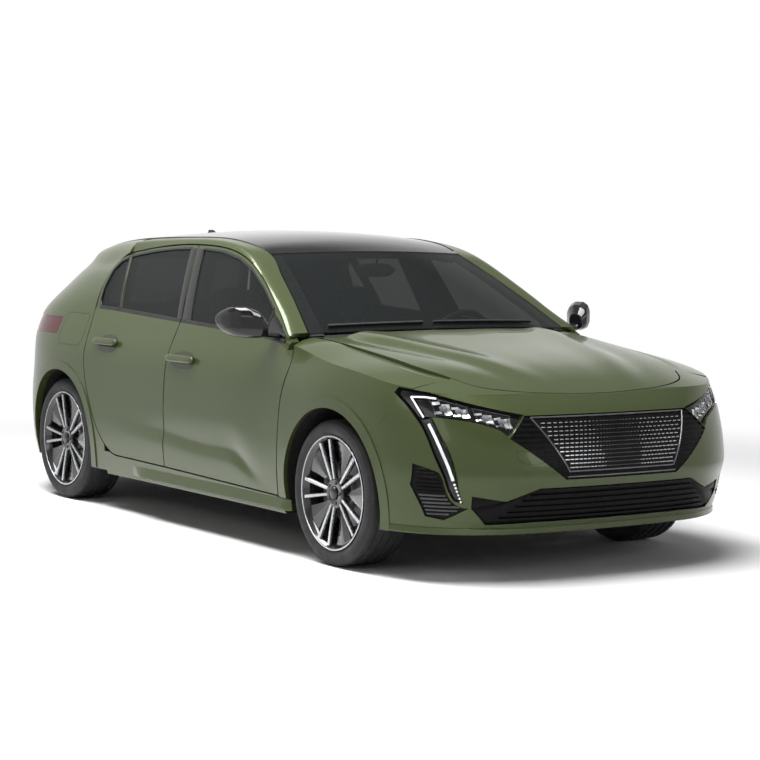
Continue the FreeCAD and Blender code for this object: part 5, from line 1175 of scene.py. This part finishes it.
for side, sign in SIDES:
    for end, x0, x1, foot in (("front", -140, 795, lambda x: 348),
                              ("rear", -835, -325, lambda x: 372 + max(-x - 700, 0) * 0.9)):
        body = end + "_door_" + side + "_body"
        length = x1 - x0
        relief = lambda x, z: (3 + 26 * hump(z, 668, 26) * window_of(x, x0 + 60, x1 - length * 0.35)
                               + 9 * hump(z, 430, 55) * window_of(x, x0 + 40, x1 - 120)
                               + 4 * hump(z, 860, 70) * window_of(x, x0 + 20, x1 - 40))
        card = bmesh.new()
        relief_plate(card, 31, 33, x0, x1, foot, lambda x: BELT(x) - 22, 776, sign, relief, 8.0)
        finish_mesh(end + "_door_card_" + side, card, "black_matte", body, 50)
        pull = bmesh.new()
        middle = x1 - length * 0.42
        path = [Vector((middle + dx, sign * (750 - rise), 742 + dz)) for dx, dz, rise in
                ((-80, -6, -14), (-62, 0, 6), (0, 3, 10), (62, 0, 6), (80, -6, -14))]
        add_bar(pull, path, [Vector((0, -sign, 0))] * 5, 16.0, 9.0, 0.6)
        finish_mesh(end + "_door_pull_" + side, pull, "alloy", body, 40)
    trim = bmesh.new()
    relief = lambda x, z: 2 + 6 * hump(z, 560, 90) * window_of(x, -1850, -1150, 60)
    relief_plate(trim, 21, 17, -1965, -1020, lambda x: 383, lambda x: 945, 604, sign, relief, 6.0)
    finish_mesh("boot_trim_" + side, trim, "black_matte", smooth=50)
shelf = bmesh.new()
SHELF_ROWS, SHELF_COLUMNS = 13, 25
grid = [[Vector((x, y, 934 + 3 * math.cos(y / 190.0))) for y in steps(-590, 590, SHELF_COLUMNS)]
        for x in steps(-1175, -1740, SHELF_ROWS)]
add_plate(shelf, grid, 12.0, [[Vector((0, 0, 1))] * SHELF_COLUMNS] * SHELF_ROWS)
finish_mesh("parcel_shelf", shelf, "fabric", smooth=40)

# Engine cover with ribs

low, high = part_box("engine_block")
low, high = low * 1000, high * 1000
cover = bmesh.new()
cx, cy = (low.x + high.x) / 2, (low.y + high.y) / 2
add_block(cover, cx - 150, cx + 130, cy - 230, cy + 230, high.z + 0.5, high.z + 26, 8)
for k in range(9):
    y = cy - 180 + k * 45
    add_block(cover, cx - 120, cx + 100, y - 5, y + 5, high.z + 25, high.z + 32, 2.4)
finish_mesh("engine_cover", cover, "black_matte")


# Roof mouldings, rear wiper, high brake lamp, inner mirror

MOULDING_POINTS = 41
ditch = bmesh.new()
for _, sign in SIDES:
    path = [Vector((x, sign * (EDGE_Y(x) + 1), EDGE_Z(x) + 0.5)) for x in steps(150, -1600, MOULDING_POINTS)]
    add_bar(ditch, path, [Vector((0, sign * 0.35, 0.94))] * MOULDING_POINTS, 9.0, 4.0, 0.6)
finish_mesh("roof_mouldings", ditch, "black_matte")


def surface_of(node):
    """Ray finder over a CAD node's mesh at rest."""
    bm = bmesh.new()
    bm.from_mesh(nodes[node].data)
    tree = BVHTree.FromBMesh(bm)
    bm.free()

    def find(y, z, out=0.0):
        place, normal, _, _ = tree.ray_cast(Vector((-3.0, y / 1000, z / 1000)), Vector((1, 0, 0)))
        if normal.x > 0:
            normal = -normal
        return place * 1000 + normal * out, normal

    return find


glass_at = surface_of("tailgate_glass")
wiper_arm = bmesh.new()
bar_on(wiper_arm, glass_at, [(0, 1030), (180, 1040), (330, 1046)], 13, 14.0, 12.0, 7.0, 0.6)
bar_on(wiper_arm, glass_at, [(60, 1040), (360, 1056)], 13, 7.0, 6.0, 9.0, 0.6)
hub, normal = glass_at(0, 1030, 0.0)
add_loft(wiper_arm, round_rings(hub, normal, ((17, 0.5), (17, 10), (14, 19), (6, 20))))
finish_mesh("rear_wiper", wiper_arm, "black_matte", "tailgate_panel", 40)
brake = bmesh.new()
bar_on(brake, glass_at, [(-150, 1236), (150, 1236)], 21, 4.0, 9.0, 5.0, 0.5)
finish_mesh("high_brake_lamp", brake, "red_glow", "tailgate_panel")
inner = bmesh.new()
rings = []
for u in steps(-1, 1, 9):
    swell = (1 - 0.98 * abs(u) ** 4) ** 0.5
    rings.append([Vector((268 + 9 * math.cos(t) * swell, 118 * u, 1250 + 34 * math.sin(t) * swell))
                  for t in full_turn(14)])
add_loft(inner, rings)
stalk = [Vector((272, 0, 1262)), Vector((285, 0, 1290)), Vector((291, 0, 1308))]
add_bar(inner, stalk, [Vector((0, 1, 0))] * 3, 12.0, 12.0, 0.6)
finish_mesh("inner_mirror", inner, "black_matte", smooth=40)


# Camera at the photograph's place

CAMERA = (9.20489973, -5.89109939, 1.49622933)
YAW, PITCH, ROLL = 2.5558687, -0.0731311522, 0.0106265571
FOCAL_PIXELS = 2187.43058
PHOTO_PIXELS = 760
SENSOR_WIDTH = 36.0
camera_data = bpy.data.cameras.new("camera")
camera_data.sensor_width = SENSOR_WIDTH
camera_data.lens = FOCAL_PIXELS / PHOTO_PIXELS * SENSOR_WIDTH
camera = bpy.data.objects.new("camera", camera_data)
bpy.context.scene.collection.objects.link(camera)
forward = Vector((math.cos(PITCH) * math.cos(YAW), math.cos(PITCH) * math.sin(YAW), math.sin(PITCH)))
level = forward.cross(Vector((0, 0, 1))).normalized()
upward = level.cross(forward)
across = level * math.cos(ROLL) + upward * math.sin(ROLL)
upward = upward * math.cos(ROLL) - level * math.sin(ROLL)
rows = [(across[i], upward[i], -forward[i]) for i in range(3)]
camera.matrix_world = Matrix.Translation(CAMERA) @ Matrix(rows).to_4x4()
bpy.context.scene.camera = camera

# Studio: pale floor that turns to the white background away from the car, soft lamps

bpy.context.scene.view_settings.view_transform = "Standard"


WORLD_LIGHT = 0.16
WORLD_STOPS = ((0.10, 1.0), (1.0, 0.12), (0.42, 1.0), (0.6, 0.25))
FLOOR_HALF = 60.0
FLOOR_TONE = 0.80
WHITE_FROM, WHITE_TO = 2.9, 6.0


def seen_rays(owner):
    """One for camera, glossy and transmission rays, nought for the rest."""
    path = add(owner, "ShaderNodeLightPath")
    total = path.outputs["Is Camera Ray"]
    for output in ("Is Glossy Ray", "Is Transmission Ray"):
        total = join(owner, "ADD", total, path.outputs[output], use_clamp=True)
    return total


world = bpy.data.worlds.new("studio")
bpy.context.scene.world = world
world.use_nodes = True
world.node_tree.nodes.clear()
output = add(world, "ShaderNodeOutputWorld")
mixer = add(world, "ShaderNodeMixShader")
plain = add(world, "ShaderNodeBackground", Strength=WORLD_LIGHT)
shown = add(world, "ShaderNodeBackground")
split = add(world, "ShaderNodeSeparateXYZ")
heights = add(world, "ShaderNodeValToRGB")
elements = heights.color_ramp.elements
stops = [elements[0], elements[1], elements.new(0.2), elements.new(0.55)]
for element, (height, value) in zip(stops, WORLD_STOPS):
    element.position = height
    element.color = (value, value, value, 1.0)
link(world, add(world, "ShaderNodeTexCoord").outputs["Generated"], split.inputs[0])
link(world, split.outputs["Z"], heights.inputs["Fac"])
link(world, heights.outputs["Color"], shown.inputs["Color"])
link(world, seen_rays(world), mixer.inputs["Fac"])
link(world, plain.outputs[0], mixer.inputs[1])
link(world, shown.outputs[0], mixer.inputs[2])
link(world, mixer.outputs[0], output.inputs["Surface"])

floor_mesh = bpy.data.meshes.new("floor")
corners = [(x * FLOOR_HALF, y * FLOOR_HALF, 0) for x, y in ((-1, -1), (1, -1), (1, 1), (-1, 1))]
floor_mesh.from_pydata(corners, [], [(0, 1, 2, 3)])
floor = bpy.data.objects.new("floor", floor_mesh)
bpy.context.scene.collection.objects.link(floor)
ground = new_material("pale_floor", Roughness=0.85, Base_Color=(FLOOR_TONE,) * 3, Specular_IOR_Level=0.2)
distance = add(ground, "ShaderNodeVectorMath", operation="LENGTH")
fade = add(ground, "ShaderNodeMapRange", interpolation_type="SMOOTHSTEP",
           From_Min=WHITE_FROM, From_Max=WHITE_TO)
white = add(ground, "ShaderNodeEmission", Color=(1, 1, 1, 1))
blend = add(ground, "ShaderNodeMixShader")
link(ground, add(ground, "ShaderNodeTexCoord").outputs["Object"], distance.inputs[0])
link(ground, distance.outputs["Value"], fade.inputs["Value"])
link(ground, join(ground, "MULTIPLY", fade.outputs["Result"], seen_rays(ground)), blend.inputs["Fac"])
link(ground, ground.node_tree.nodes["Principled BSDF"].outputs[0], blend.inputs[1])
link(ground, white.outputs[0], blend.inputs[2])
link(ground, blend.outputs[0], ground.node_tree.nodes["Material Output"].inputs["Surface"])
floor_mesh.materials.append(ground)


def softbox(name, place, aim, size, power):
    """Wide soft lamp turned at a point."""
    lamp = bpy.data.lights.new(name, "AREA")
    lamp.shape = "RECTANGLE"
    lamp.size, lamp.size_y = size
    lamp.energy = power
    made = bpy.data.objects.new(name, lamp)
    bpy.context.scene.collection.objects.link(made)
    made.location = place
    made.rotation_euler = (Vector(aim) - Vector(place)).to_track_quat("-Z", "Y").to_euler()


softbox("ceiling", (0.2, -1.6, 5.2), (0, -0.2, 0), (7.5, 2.4), 900)
softbox("side_fill", (3.0, -6.5, 3.0), (0.3, 0, 0.6), (5.0, 1.4), 40)
softbox("front_fill", (7.5, 2.0, 2.6), (0.8, 0, 0.5), (3.0, 2.0), 50)
